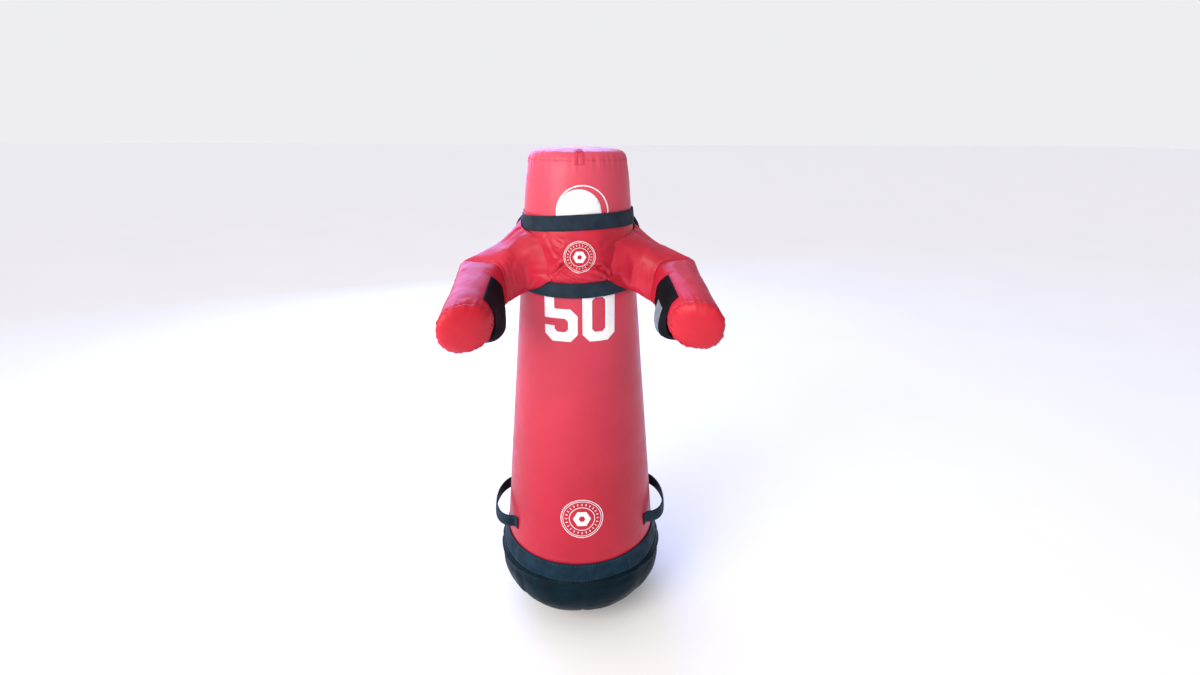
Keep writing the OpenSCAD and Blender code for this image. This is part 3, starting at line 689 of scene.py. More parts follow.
# ---- Side handles ----
# Folded polypropylene webbing, 42 mm wide and two layers thick, sewn flat to the cover at both
# ends with a boxed cross of stitches, and standing off in a loop that a hand goes through.
HANDLE_HEIGHT, HALF_SPAN, STAND_OFF, HANDLE_WIDE, HANDLE_THICK = 350, 115, 48, 42, 4.0
side_radius = body_radius(HANDLE_HEIGHT)
chord = math.sqrt(side_radius ** 2 - HALF_SPAN ** 2)
bow = side_radius + STAND_OFF - chord - HANDLE_THICK / 2
on_cover = side_radius + 2.6
handle_webbing = webbing("folded_webbing_handle_navy", "#14303f", "#0c212d", rib=2.8)


def smoothed(path, rounds):
    for _ in range(rounds):
        path = np.concatenate([path[:1], (path[:-2] + 2 * path[1:-1] + path[2:]) / 4, path[-1:]])
    return path


def resampled(path, step):
    at = np.r_[0, np.cumsum(np.linalg.norm(np.diff(path, axis=0), axis=1))]
    s = np.linspace(0, at[-1], max(2, round(at[-1] / step)) + 1)
    return np.stack([np.interp(s, at, path[:, k]) for k in range(path.shape[1])], -1)


for side, sign in (("left", 1), ("right", -1)):
    bend = np.radians(np.linspace(-86, 86, 41))
    loop = np.stack([-chord - bow * np.cos(bend) ** 0.8, HALF_SPAN * np.sin(bend)], -1)
    flat_turn = np.radians(np.linspace(32.5, 27.5, 6))
    front = np.stack([-on_cover * np.cos(flat_turn), -on_cover * np.sin(flat_turn)], -1)
    plan = np.concatenate([front, loop, front[::-1] * (1, -1)])
    plan = resampled(smoothed(resampled(plan, 4), 3), 5)
    standing = np.clip((-plan[:, 0] - 236) / 50, 0, 1)      # 0 on the cover, 1 well off it
    path = np.column_stack([plan, HANDLE_HEIGHT - 5.0 * standing ** 1.5])
    ahead = unit(np.gradient(path, axis=0))
    out = unit(np.column_stack([-ahead[:, 1], ahead[:, 0], np.zeros(len(path))]))
    out *= np.sign(np.sum(out * (path - (0, 0, HANDLE_HEIGHT)), 1, keepdims=True)[len(path) // 2])
    lean_out = out + np.array([0, 0, 1]) * 0.12 * standing[:, None]
    section = webbing_section(HANDLE_WIDE, HANDLE_THICK, crown=0.5)
    handle = sweep(side + "_handle_webbing", path, lean_out, section, mirror=sign < 0)
    paint(handle, handle_webbing)
    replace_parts(handle, side + "_handle", side + "_handle_front_end", side + "_handle_rear_end")
    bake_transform(handle)
    for edge, up in (("low", -16), ("high", 16)):
        line = path + out * (HANDLE_THICK / 2 + 0.4) + (0, 0, up)
        row = thread_row(f"{side}_handle_stitches_{edge}", line * (sign, 1, 1), out * (sign, 1, 1))
        paint(row, grey_thread)
        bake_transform(row)
    for end, ways in (("front", -1), ("rear", 1)):
        for k, (z0, z1) in enumerate(((-16, 16), (16, -16), (-16, -16.1), (16, 16.1))):
            sewn_turn = -math.pi / 2 - ways * np.radians(np.linspace(28, 31.8, 8))
            line = polar(sewn_turn, on_cover + 2.4, HANDLE_HEIGHT + np.linspace(z0, z1, 8))
            row = thread_row(f"{side}_handle_{end}_box_{k}", line * (sign, 1, 1),
                             polar(sewn_turn, 1.0, 0) * (sign, 1, 1), pitch=5.5, length=4)
            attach(paint(row, grey_thread), "dummy")

# ---- Zip up the back ----
# Woven zip tape with a coil of nylon teeth along its middle, sewn over a slit in the cover.
# The slider and its puller are cast zinc, plated.
ZIP_LOW, ZIP_HIGH = 322, 1085
tape_rows = []
for z in np.linspace(ZIP_LOW, ZIP_HIGH, 120):
    x = np.linspace(16, -16, 13)
    angle = math.pi - x / body_radius(z)
    tape_rows.append(polar(angle, cover_face(angle, np.full_like(x, z)) + 0.9
                           + 0.5 * np.exp(-(np.abs(x) - 13) ** 2 / 2), z))
tape = grid_piece("zip_woven_tape", tape_rows)
zip_tape_cloth = webbing("woven_zip_tape_black", "#1d252b", "#12181d", rib=2.0, roughness=0.75)
paint(shell(tape, 0.8), zip_tape_cloth)
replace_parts(tape, "zip_tape")
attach(tape, "dummy")

# the teeth lie by turns on each side of the middle; a tooth is (across, out, along the zip)
points, faces = [], []
up_axis = np.array([0, -math.sin(LEAN), math.cos(LEAN)])
out_axis = np.array([0, math.cos(LEAN), math.sin(LEAN)])
for k, z in enumerate(np.arange(ZIP_LOW + 6, ZIP_HIGH - 6, 3.2)):
    hand = 1 if k % 2 else -1
    on_tape = np.array([0, body_radius(z) + 1.4, z])
    tooth = [(x * hand, o, u * end) for end in (-1, 1)
             for x, o, u in ((-2.9, 0.2, 0.9), (0.9, 0.0, 1.2), (1.5, 1.3, 1.0), (-2.7, 2.1, 0.9))]
    base = len(points)
    points += [on_tape + (x, 0, 0) + out_axis * o + up_axis * u for x, o, u in tooth]
    quads = [(0, 1, 2, 3), (7, 6, 5, 4), (0, 4, 5, 1), (1, 5, 6, 2), (2, 6, 7, 3), (3, 7, 4, 0)]
    faces += [[base + v for v in (q if hand > 0 else q[::-1])] for q in quads]
coil = new_piece("zip_coil_teeth", points, faces)


def moulded(name, light, dark, roughness, ior=1.46, fine=0.25):
    """Moulded plastic or rubber: even colour with a fine spark-eroded grain from its mould."""
    made, tree, where = start_material(name)
    colour, cloud = drift(tree, where, 25, light, dark)
    grain = add(tree, "ShaderNodeTexNoise", {"Vector": where, "Scale": 1000 / 0.9, "Detail": 2.0})
    bumps = add(tree, "ShaderNodeBump", {
        "Height": grain.outputs[0], "Strength": fine, "Distance": 0.0003})
    satin = add(tree, "ShaderNodeMapRange", {
        "Value": cloud, "To Min": roughness - 0.05, "To Max": roughness + 0.07})
    return finish_material(made, add(tree, "ShaderNodeBsdfPrincipled", {
        "Base Color": colour, "Roughness": satin.outputs[0], "IOR": ior,
        "Normal": bumps.outputs[0]}))


coil_nylon = moulded("nylon_coil_black", "#2c3237", "#1f2428", 0.38, ior=1.53)
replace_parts(paint(coil, coil_nylon), "zip_coil")
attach(coil, "dummy")


def bare_metal(name, light, dark, roughness, brushed=0.0):
    """Metal: cast or rolled face, with faint long scratches where brushed is above 0."""
    made, tree, where = start_material(name)
    colour, cloud = drift(tree, where, 18, light, dark, detail=5.0)
    stretched = add(tree, "ShaderNodeMapping", {"Vector": where, "Scale": (1.0, 12.0, 1.0)})
    lines = add(tree, "ShaderNodeTexNoise", {
        "Vector": stretched.outputs[0], "Scale": 1000 / 6, "Detail": 4.0})
    marks = add(tree, "ShaderNodeBump", {
        "Height": lines.outputs[0], "Strength": 0.1 + brushed, "Distance": 0.0002})
    satin = add(tree, "ShaderNodeMapRange", {
        "Value": cloud, "To Min": roughness - 0.06, "To Max": roughness + 0.12})
    return finish_material(made, add(tree, "ShaderNodeBsdfPrincipled", {
        "Base Color": colour, "Roughness": satin.outputs[0], "Metallic": 1.0,
        "Normal": marks.outputs[0]}))


cast_zinc = bare_metal("cast_zinc_nickel_plated", "#b9bdc2", "#9ea3a9", 0.3)
for node in ("zip_slider", "zip_puller"):
    paint(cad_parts[node], cast_zinc)

# ---- Chest yoke of the arm harness ----
# A wide panel of the red vinyl, backed with thin foam, that wraps the chest between the arms.
# It stands out round its printed mark, sags in a roll above the lower strap, and is creased
# slantwise towards each arm. Black coated nylon joins its two ends across the back.
YOKE_LOW, YOKE_HIGH, YOKE_HALF = 1134, 1338, math.radians(98)
YOKE_FACE = 2.9                 # outer face of the yoke where it lies flat, off the cone
UPPER_STRAP, LOWER_STRAP, STRAP_WIDE = 1303, 1122, 41
STRAPPED_TO = LOWER_STRAP + STRAP_WIDE               # the yoke is slack from here to UPPER_STRAP


def ridge(x, centre, width):
    return np.exp(-((x - centre) / width) ** 2)


# soft creases of the slack vinyl: (across, height) of both ends, depth and half-width
CREASES = (((-70, 1184), (-43, 1210), 6.0, 5.0), ((-43, 1210), (-14, 1203), 7.0, 5.0),
           ((26, 1207), (54, 1203), 7.0, 5.0), ((54, 1203), (74, 1188), 6.0, 5.0),
           ((-50, 1200), (10, 1168), 4.5, 4.5), ((-60, 1188), (-22, 1168), 3.5, 4.0),
           ((8, 1198), (60, 1180), 4.0, 4.5), ((-104, 1296), (-50, 1268), 2.6, 5.0),
           ((-96, 1284), (-58, 1256), 2.2, 4.5), ((-84, 1270), (-60, 1238), 2.4, 4.5),
           ((104, 1292), (62, 1266), 2.2, 6.0))


def creased(across, z):
    """Depth of all the creases together, each with a little fullness on both sides."""
    depth = 0
    for (x0, z0), (x1, z1), deep, width in CREASES:
        along = np.clip(((across - x0) * (x1 - x0) + (z - z0) * (z1 - z0))
                        / ((x1 - x0) ** 2 + (z1 - z0) ** 2), 0, 1)
        away = np.hypot(across - x0 - along * (x1 - x0), z - z0 - along * (z1 - z0))
        depth = depth - deep * ridge(away, 0, width) + 0.4 * deep * ridge(away, 2.3 * width, width)
    return depth


def yoke_skin(angle, z):
    """Height of the yoke's face off the cone: flat under the straps. Between them it stands
    out above the mark, falls back to the creases below it, and rolls out above the strap."""
    across = angle * 166                             # millimetres round the chest
    free = (np.clip((z - STRAPPED_TO) / 8, 0, 1) * np.clip((UPPER_STRAP - z) / 22, 0, 1)) ** 0.8
    front = np.exp(-(across / 92) ** 4)
    spread = np.stack(np.broadcast_arrays(across, z, 0.0), -1)
    shelf = 12.0 * front * ridge(z, 1258, 40)
    roll = 9.0 * ridge(z, 1182 + 0.03 * across, 12) * np.exp(-((across - 4) / 66) ** 4)
    skin = (2.5 * front + shelf + roll + creased(across, z) + 1.8 * lumps(spread, 46, 21)
            + 1.0 * lumps(spread, 20, 22))
    return YOKE_FACE + np.clip(skin, -1.0, 15) * free


turn, height = np.meshgrid(np.linspace(-YOKE_HALF, YOKE_HALF, 200),
                           np.linspace(YOKE_LOW, YOKE_HIGH, 84))
yoke = grid_piece("chest_yoke_panel", polar(turn, body_radius(height) + yoke_skin(turn, height),
                                            height))
harness_vinyl = coated_vinyl("pvc_coated_polyester_red_harness", "#c8273f", "#b41c32", 0.4)
shell(paint(yoke, harness_vinyl), 1.4)
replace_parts(yoke, "chest_yoke")
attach(yoke, "arm_harness")

yoke_mark = print_on("yoke_roundel_ink", roundel(42.5), 1235,
                     lambda angle, z: body_radius(z) + yoke_skin(angle, z), lift=0.3, step=3)
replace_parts(paint(yoke_mark, white_ink), "yoke_roundel")
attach(yoke_mark, "arm_harness")

# the back panel joins the yoke's two ends
turn, height = np.meshgrid(np.linspace(YOKE_HALF + 0.01, 2 * math.pi - YOKE_HALF - 0.01, 150),
                           np.linspace(YOKE_LOW, YOKE_HIGH, 54))
place = polar(turn, 160, height)
give = np.clip((height - STRAPPED_TO) / 20, 0, 1) * np.clip((UPPER_STRAP - height) / 20, 0, 1)
puff = (3.0 + 2.0 * lumps(place, 60, 31) + 1.0 * lumps(place, 24, 32)) * give
panel = grid_piece("back_panel_nylon", polar(turn, body_radius(height) + YOKE_FACE + puff, height))
shell(paint(panel, boot_nylon), 1.4)
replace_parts(panel, "back_panel")
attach(panel, "arm_harness")

# ---- Straps of the harness ----
# Two turns of dark navy webbing, 41 mm wide, pulled tight over the yoke above and below the
# arms. Each closes at the back with a loose tail of hook-and-loop tape.
strap_webbing = webbing("polypropylene_webbing_slate", "#253442", "#1d2a36")


def strap_face(angle, z, low):
    """Outer face of a strap: snug, bowed a little between its edges, never quite even."""
    middle = (z - low - STRAP_WIDE / 2) / (STRAP_WIDE / 2)
    uneven = 0.35 * lumps(polar(angle, 160, z), 70, low)
    return body_radius(z) + 5.9 + 0.5 * (1 - middle ** 2) + uneven


# each strap is pulled up or down at both sides by the arms, and hangs a little lower on one
for label, low, pulled, tilt in (("upper", UPPER_STRAP, -7.5, 7.5),
                                 ("lower", LOWER_STRAP, 7, 3.5)):
    turn, height = np.meshgrid(all_round(220), np.linspace(low, low + STRAP_WIDE, 9))
    lift = pulled * np.sin(turn) ** 2 + tilt * np.sin(turn)
    strap = grid_piece(label + "_strap_webbing",
                       polar(turn, strap_face(turn, height, low), height + lift), around=True)
    shell(paint(strap, strap_webbing), 2.2)
    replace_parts(strap, label + "_strap")
    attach(strap, "arm_harness")
    turn, height = np.meshgrid(np.radians(np.linspace(158.5, 201.5, 40)),
                               np.linspace(low + 1.5, low + STRAP_WIDE - 1.5, 9))
    tail = grid_piece(label + "_strap_tail_tape",
                      polar(turn, strap_face(turn, height, low) + 2.3
                            + 0.3 * np.sin(9 * turn + height / 9), height))
    tail_tape = webbing(label + "_tail_hook_tape_black", "#222d36", "#161f27", roughness=0.8)
    shell(paint(tail, tail_tape), 1.8)
    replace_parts(tail, label + "_strap_tail")
    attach(tail, label + "_strap_tail")
    for k, sewn_at in enumerate((199.5, 196.5)):
        z = np.linspace(low + 4, low + STRAP_WIDE - 4, 8)
        angle = np.radians(np.full_like(z, sewn_at))
        line = polar(angle, strap_face(angle, z, low) + 2.8, z)
        row = thread_row(f"{label}_tail_stitches_{k}", line, polar(angle, 1.0, 0),
                         pitch=5, length=3.6)
        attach(paint(row, grey_thread), label + "_strap_tail")

# ---- Padded arms ----
# Each arm is a sleeve of the red vinyl over shaped foam: an upper part sewn to the yoke with a
# flared root, a mitred elbow seam, a forearm, and a domed hand end gathered into its seam.
# The fabric is blown out by a short cloth simulation between its sewn lines.
ARM_WIDE, ARM_HIGH, ARM_ROUND, HAND_ROUND, HAND_BULGE = 124, 128, 27, 55, 26
UPPER_LENGTH, FORE_LENGTH, HAND_SKEW = 163, 264, 0.4
HAND_WIDE, HAND_HIGH = ARM_WIDE - 2, ARM_HIGH - 2
AROUND_ARM = 96                 # points round a sleeve


def heading(turned, drop):
    turned, drop = math.radians(turned), math.radians(drop)
    return np.array([-math.cos(drop) * math.cos(turned), -math.cos(drop) * math.sin(turned),
                     -math.sin(drop)])


def axes(ahead):
    """(across, up): the level direction to an arm's inner side, and the way up from the arm."""
    across = unit(np.cross((0, 0, 1), ahead))
    return across, np.cross(ahead, across)


shoulder_point = np.array([-138.0, -31, 1198])
upper_way, fore_way = heading(36.2, 16), heading(87.4, 8.7)
upper_across, upper_up = axes(upper_way)
fore_across, fore_up = axes(fore_way)
elbow_point = shoulder_point + UPPER_LENGTH * upper_way
hand_point = elbow_point + FORE_LENGTH * fore_way
mitre_across = unit(upper_across + fore_across)
mitre_across = mitre_across / (mitre_across @ upper_across)
mitre_up = unit(upper_up + fore_up)
hand_across = fore_across - HAND_SKEW * fore_way


def rounded_square(wide, high, corner):
    """Section of an arm as (across, up), from the middle of its inner side, anticlockwise."""
    points = []
    for k, (sx, sy) in enumerate(((1, 1), (-1, 1), (-1, -1), (1, -1))):
        for t in np.radians(np.linspace(90 * k, 90 * k + 90, 12)):
            points.append((sx * (wide / 2 - corner) + corner * math.cos(t),
                           sy * (high / 2 - corner) + corner * math.sin(t)))
    points = np.array([(wide / 2, 0)] + points + [(wide / 2, 0)])
    at = np.r_[0, np.cumsum(np.linalg.norm(np.diff(points, axis=0), axis=1))]
    s = np.linspace(0, at[-1], AROUND_ARM, endpoint=False)
    return np.stack([np.interp(s, at, points[:, k]) for k in (0, 1)], -1)


def ring(section, centre, across, up):
    return centre + section[:, :1] * across + section[:, 1:] * up


def lerp(a, b, count):
    return [a + (b - a) * k / count for k in range(count)]


def on_body(point, off):
    """The point moved level, away from the body's axis, until it is off millimetres clear."""
    out = point * (1, 1, 0)
    return out * (body_radius(point[2]) + off) / np.linalg.norm(out) + (0, 0, point[2])


section = rounded_square(ARM_WIDE, ARM_HIGH, ARM_ROUND)
# near its root the arm is a little fuller, most of all along its top
fuller = section * (1.05, 1) + np.clip(section[:, 1:] / 64, 0, 1) * (0, 8)
start_ring = ring(fuller, shoulder_point + 84 * upper_way, upper_across, upper_up)
mitre_ring = ring(section, elbow_point, mitre_across, mitre_up)
hand_section = rounded_square(HAND_WIDE, HAND_HIGH, HAND_ROUND)
seam_ring = ring(hand_section, hand_point, hand_across, fore_up)


def over_straps(rows):
    """Lifts the parts of a sleeve's root that would sink into the straps until they lie on them.
    The straps' edges are taken wider than they are, because the straps are tilted."""
    z = rows[..., 2]
    off = np.hypot(rows[..., 0], rows[..., 1]) - body_radius(z)
    on_lower = np.clip(np.minimum(z - LOWER_STRAP + 14, STRAPPED_TO + 19 - z) / 10, 0, 1)
    on_upper = np.clip((z - UPPER_STRAP + 21) / 8, 0, 1)
    need = 2.0 + 6.6 * (on_lower + on_upper)
    push = np.maximum(need - off, 0)[..., None]
    return rows + unit(rows * (1, 1, 0)) * push


def root_rows(count, peak, near):
    """Rows from the flared edge on the yoke out to the arm. The top runs straight up to the
    upper strap, peak millimetres above the arm's own line; the inner side sweeps round onto the
    yoke, near millimetres inwards at its top and more below, down to the lower strap."""
    foot_ring, leave = [], []
    for (x, y), end in zip(section, start_ring):
        back = end.copy()
        while np.linalg.norm(back[:2]) > body_radius(back[2]) + 6 and back[2] < 1320:
            back = back - upper_way
        inner, outer = np.clip((x / 54, -x / 54), 0, 1) ** 1.4
        over, under = np.clip((y / 56, -y / 56), 0, 1) ** 1.4
        inwards = inner * (82 - (82 - near) * over) - 10 * outer
        upwards = over * (peak * (0.62 + 0.38 * outer) - 9 * inner) + under * (46 * inner - 8)
        level = unit(np.cross((0, 0, 1), back * (1, 1, 0)))
        level = level * np.sign(level @ upper_across)
        foot = back + level * inwards + (0, 0, upwards)
        foot = on_body(foot, 2.0)
        straight = unit(end - foot)
        foot_ring.append(foot)
        leave.append(unit(straight + 0.6 * inner * (1 - 0.6 * over) * -level))
    foot_ring, leave = np.array(foot_ring), np.array(leave)
    reach = np.linalg.norm(start_ring - foot_ring, axis=1, keepdims=True)
    rows = []
    for k in range(count):
        t = k / count
        # a smooth curve between two points, with a set direction at each
        h = (2 * t ** 3 - 3 * t ** 2 + 1, t ** 3 - 2 * t ** 2 + t,
             -2 * t ** 3 + 3 * t ** 2, t ** 3 - t ** 2)
        rows.append(h[0] * foot_ring + h[1] * leave * reach * 0.8 + h[2] * start_ring
                    + h[3] * upper_way * reach * 0.8)
    return rows


ROOT_ROWS, UPPER_ROWS, FORE_ROWS, CAP_ROWS = 16, 18, 46, 13
CREASE = ROOT_ROWS + UPPER_ROWS
SEAM = CREASE + FORE_ROWS
cap_rows = []
for k in range(CAP_ROWS):
    tilt = math.radians(88 * k / (CAP_ROWS - 1))
    small = hand_section * max(0.03, math.cos(tilt)) ** 0.7
    cap_rows.append(ring(small, hand_point + HAND_BULGE * math.sin(tilt) * fore_way,
                         hand_across, fore_up))


def blown_out(rows, pinned, pressure=4.0, furthest=4, extra=-0.004, frames=20):
    """Blows a tube of fabric out between its pinned rows, as stuffing does, with a little
    extra cloth in it, and keeps each point within furthest of where it was."""
    sheet = grid_piece("cloth_being_filled", rows, around=True)
    pins = sheet.vertex_groups.new(name="sewn")
    count = rows.shape[1]
    for j, weight in pinned.items():
        pins.add([j * count + i for i in range(count)], weight, "REPLACE")
    cloth = sheet.modifiers.new("cloth", "CLOTH")
    cloth.settings.vertex_group_mass = "sewn"
    cloth.settings.mass = 0.3
    cloth.settings.quality = 6
    cloth.settings.use_pressure = True
    cloth.settings.uniform_pressure_force = pressure
    cloth.settings.shrink_min = extra
    cloth.settings.tension_stiffness = cloth.settings.compression_stiffness = 25
    cloth.settings.bending_stiffness = 0.6
    cloth.settings.effector_weights.gravity = 0
    cloth.collision_settings.use_collision = False
    cloth.point_cache.frame_start, cloth.point_cache.frame_end = 1, frames
    scene = bpy.context.scene
    for frame_number in range(1, frames + 1):
        scene.frame_set(frame_number)
    filled = sheet.evaluated_get(bpy.context.evaluated_depsgraph_get()).to_mesh()
    after = np.array([v.co for v in filled.vertices]).reshape(rows.shape) / MM
    bpy.data.objects.remove(sheet)
    scene.frame_set(1)
    move = after - rows
    size = np.linalg.norm(move, axis=-1, keepdims=True)
    return rows + move * np.minimum(1, furthest / np.maximum(size, 1e-9))


def normals_of(rows):
    """Outward direction at each point of a tube of rows."""
    along = np.gradient(rows, axis=0)
    round_it = np.roll(rows, -1, 1) - np.roll(rows, 1, 1)
    return unit(np.cross(round_it, along) + 1e-12)


def gathered(rows, side_seed):
    """Draws the sewn lines in and puckers the cloth beside them. A row of the sleeve is 5.7 mm
    from the next, and the gaps are millimetres from each sewn line."""
    out = normals_of(rows)
    spin = np.linspace(0, 2 * math.pi, AROUND_ARM, endpoint=False)[None]
    row = np.arange(len(rows))[:, None]
    seam_gap = np.where(row < SEAM, (SEAM - row) * 5.7, (row - SEAM) * 5.6)
    crease_gap = np.where(row < CREASE, (CREASE - row) * 5.8, (row - CREASE) * 5.7)
    inner = np.clip(np.cos(spin), 0, 1)
    dent = (-3.2 * np.exp(-(seam_gap / 4.5) ** 2)
            + 2.8 * np.exp(-seam_gap / 16) * gather(spin, 24, side_seed + 2)
            - 3.0 * np.exp(-(crease_gap / 4.5) ** 2)
            + 1.1 * np.exp(-crease_gap / 13) * gather(spin, 17, side_seed + 5)
            + inner * 2.0 * np.exp(-crease_gap / 34) * np.sin(crease_gap / 5.2))
    dent = dent + 1.5 * lumps(rows, 52, 40 + side_seed) + 0.7 * lumps(rows, 22, 50 + side_seed)
    dent = dent * np.clip(row / 5, 0, 1)
    pleat = np.clip(1 - row / 13, 0, 1) * np.clip(row / 2, 0, 1)
    dent = dent + pleat * 2.6 * gather(spin, 15, side_seed + 9)
    return rows + out * dent[..., None]


E_START, E_END = 30, 110        # along the forearm, where the elbow's bend starts and ends
S_START, S_END = 62, 126        # along the upper arm, where the shoulder's bend starts and ends
grip_nylon = coated_nylon("loop_faced_nylon_black", "#11171e", "#0b0f14", 0.6)
arm_foam = cell_foam("arm_foam_cream", "#f0e6c8", "#dccfa8")
hand_vinyl = coated_vinyl("pvc_coated_polyester_red_hand", "#ca1d33", "#bd172c")
WRAP_START, WRAP_END = 92, 219  # along the forearm, where the grip wrap starts and ends
LOBE_TURN, LOBE_HALF_TURN = math.radians(-116), math.radians(18)
LOBE_HEIGHT, LOBE_HALF_TALL, LOBE_DEEP = 1245, 75, 36

for seed, (side, mirror) in enumerate((("left", False), ("right", True))):
    flip = np.array([-1 if mirror else 1, 1, 1])
    peak, near = (30, 62) if mirror else (46, 36)
    arm_rows = np.array(root_rows(ROOT_ROWS, peak, near) + lerp(start_ring, mitre_ring, UPPER_ROWS)
                        + lerp(mitre_ring, seam_ring, FORE_ROWS) + cap_rows)
    pinned = {0: 1.0, 1: 1.0, 2: 0.6, CREASE: 1.0, SEAM: 1.0}
    filled = gathered(blown_out(arm_rows, pinned), seed)
    filled[:ROOT_ROWS] = over_straps(filled[:ROOT_ROWS])
    bend_from, bend_to = side + "_upper_arm", side + "_forearm"
    shoulder_bend = ("arm_harness", bend_from, (shoulder_point + S_START * upper_way) * flip * MM,
                     (shoulder_point + S_END * upper_way) * flip * MM)
    elbow_bend = (bend_from, bend_to, (elbow_point + E_START * fore_way) * flip * MM,
                  (elbow_point + E_END * fore_way) * flip * MM)

    upper = grid_piece(side + "_upper_sleeve", filled[:CREASE + 1], around=True, mirror=mirror)
    shell(paint(upper, harness_vinyl), 1.2)
    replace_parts(upper, side + "_shoulder_sleeve", side + "_elbow_sleeve")
    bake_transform(upper)

    fore = grid_piece(side + "_forearm_cover", filled[CREASE:SEAM + 1], around=True, mirror=mirror)
    shell(paint(fore, harness_vinyl), 1.2)
    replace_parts(fore, side + "_forearm_sleeve")
    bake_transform(fore)

    hand = close_ends(grid_piece(side + "_hand_cap", filled[SEAM:], around=True, mirror=mirror))
    shell(paint(hand, hand_vinyl), 1.2)
    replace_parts(hand, side + "_hand_end")
    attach(hand, bend_to)

    # the foam inside is a smaller copy of the sleeve, kept clear of its dents
    shrunk = arm_rows - normals_of(arm_rows) * 9
    for name, rows, nodes, bend in (
            ("upper_foam", shrunk[ROOT_ROWS - 3:CREASE + 1], ("shoulder_foam", "elbow_foam"),
             shoulder_bend),
            ("forearm_core", shrunk[CREASE:SEAM + 3], ("forearm_foam",), elbow_bend)):
        core = close_ends(grid_piece(f"{side}_{name}", rows[:, ::3], around=True, mirror=mirror))
        paint(core, arm_foam)
        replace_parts(core, *[f"{side}_{node}" for node in nodes])
        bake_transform(core)

    # a thin welt lies in the elbow's and the hand's seam
    for name, row_at, body in (("elbow_welt", CREASE, bend_from), ("hand_welt", SEAM, bend_to)):
        out = normals_of(filled)[row_at]
        welt = sweep(f"{side}_{name}", filled[row_at] + out * 0.6, out, round_section(1.2, 8),
                     loop=True, mirror=mirror)
        paint(welt, red_thread)
        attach(welt, body)

    # the grip panel is a loose wrap of black loop-faced nylon over the forearm's inner side; its
    # edges stand a little off the arm, and it bellies out below
    whole = filled[CREASE:SEAM + 1]
    out = normals_of(whole)
    along = np.linspace(WRAP_START, WRAP_END, 34)
    columns = np.linspace(14, -33, 46)
    wrap = np.zeros((len(along), len(columns), 3))
    for j, t in enumerate(along):
        for i, c in enumerate(columns):
            c0 = int(math.floor(c))
            part = c - c0
            a, b = c0 % AROUND_ARM, (c0 + 1) % AROUND_ARM
            line = whole[:, a] * (1 - part) + whole[:, b] * part
            face = unit(out[:, a] * (1 - part) + out[:, b] * part)
            gone = (line - elbow_point) @ fore_way
            base = np.array([np.interp(t, gone, line[:, k]) for k in range(3)])
            lift = np.array([np.interp(t, gone, face[:, k]) for k in range(3)])
            share = (t - WRAP_START + 4) / (WRAP_END - WRAP_START + 7)
            belly = 29 * ridge(c, -13, 9) * math.sin(math.pi * share ** 1.3) ** 0.8
            edge = (1.2 * math.exp(-(t - WRAP_START) / 6)
                    + 0.8 * math.exp(-(WRAP_END - t) / 6))
            wrap[j, i] = base + lift * (1.9 + belly + edge)
    wrap += normals_of(wrap[:, ::-1])[:, ::-1] * 0.6 * lumps(wrap, 30, 60 + seed)[..., None]
    grip = grid_piece(side + "_grip_wrap", wrap[:, ::-1], mirror=mirror)
    shell(paint(grip, grip_nylon), 1.4)
    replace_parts(grip, side + "_grip_panel")
    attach(grip, bend_to)

    # the hook strip is on one forearm only
    if side == "right":
        hook_rows = wrap[11:25, 12:28:2][:, ::-1]
        hook_rows = hook_rows + normals_of(wrap[:, ::-1])[11:25, 18:34:2] * 1.5
        hook = grid_piece("right_hook_tape", hook_rows, mirror=mirror)
        hook_tape = webbing("hook_tape_grey", "#8794a0", "#727f8b", rib=3.0, roughness=0.85)
        shell(paint(hook, hook_tape), 1.2)
        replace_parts(hook, "right_hook_strip")
        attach(hook, bend_to)

    # the shoulder lobe is a stuffed pad of black nylon sewn behind the root of the arm: its flat
    # face lies on the harness, and its edge is gathered
    spin, share = all_round(64), np.r_[1.0:0.04:14j]
    wide_at = np.sign(np.cos(spin)) * np.abs(np.cos(spin)) ** 0.8
    tall_at = np.sign(np.sin(spin)) * np.abs(np.sin(spin)) ** 0.8
    lobe_rows = []
    for stuffed, outline in ((0, share[::-1]), (LOBE_DEEP, share)):
        for s in outline:
            high = stuffed * max(0, 1 - s ** 2.6) ** 0.55
            z = LOBE_HEIGHT + s * tall_at * LOBE_HALF_TALL
            lobe_rows.append(polar(LOBE_TURN + s * wide_at * LOBE_HALF_TURN,
                                   body_radius(z) + 7.0 + high, z))
    lobe_rows = np.array(lobe_rows)
    lobe_rows = lobe_rows + (normals_of(lobe_rows) * 1.5
                             * gather(spin, 19, seed)[None, :, None]
                             * ridge(np.arange(28), 14, 3)[:, None, None])
    lobe = close_ends(grid_piece(side + "_shoulder_lobe", lobe_rows, around=True, mirror=mirror))
    paint(lobe, boot_nylon)
    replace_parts(lobe, side + "_shoulder_pad")
    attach(lobe, "arm_harness")

# ---- Base ----
# A rotationally moulded polyethylene bowl holds three steel plates on four studs, topped up
# with foam; a plywood board screwed to its rim closes it. A rubber foot is bonded below.
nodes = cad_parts
paint(nodes["foot"], moulded("natural_rubber_black", "#1b1e20", "#121415", 0.75, ior=1.52,
                             fine=0.5))
paint(nodes["base_bowl"], moulded("rotomoulded_polyethylene_black", "#2a2d30", "#1e2123", 0.5,
                                  ior=1.54))
paint(nodes["bowl_filler"], cell_foam("polyurethane_fill_foam", "#e8dcb6", "#d2c194"))
steel = bare_metal("hot_rolled_steel_plate", "#6d7074", "#4d5054", 0.45, brushed=0.2)
zinc = bare_metal("zinc_plated_steel", "#aab0b6", "#8b929a", 0.3, brushed=0.05)
paint(nodes["ballast_plates"], steel)
for node in ("ballast_studs", "ballast_washers", "ballast_nuts", "board_screws"):
    paint(nodes[node], zinc)


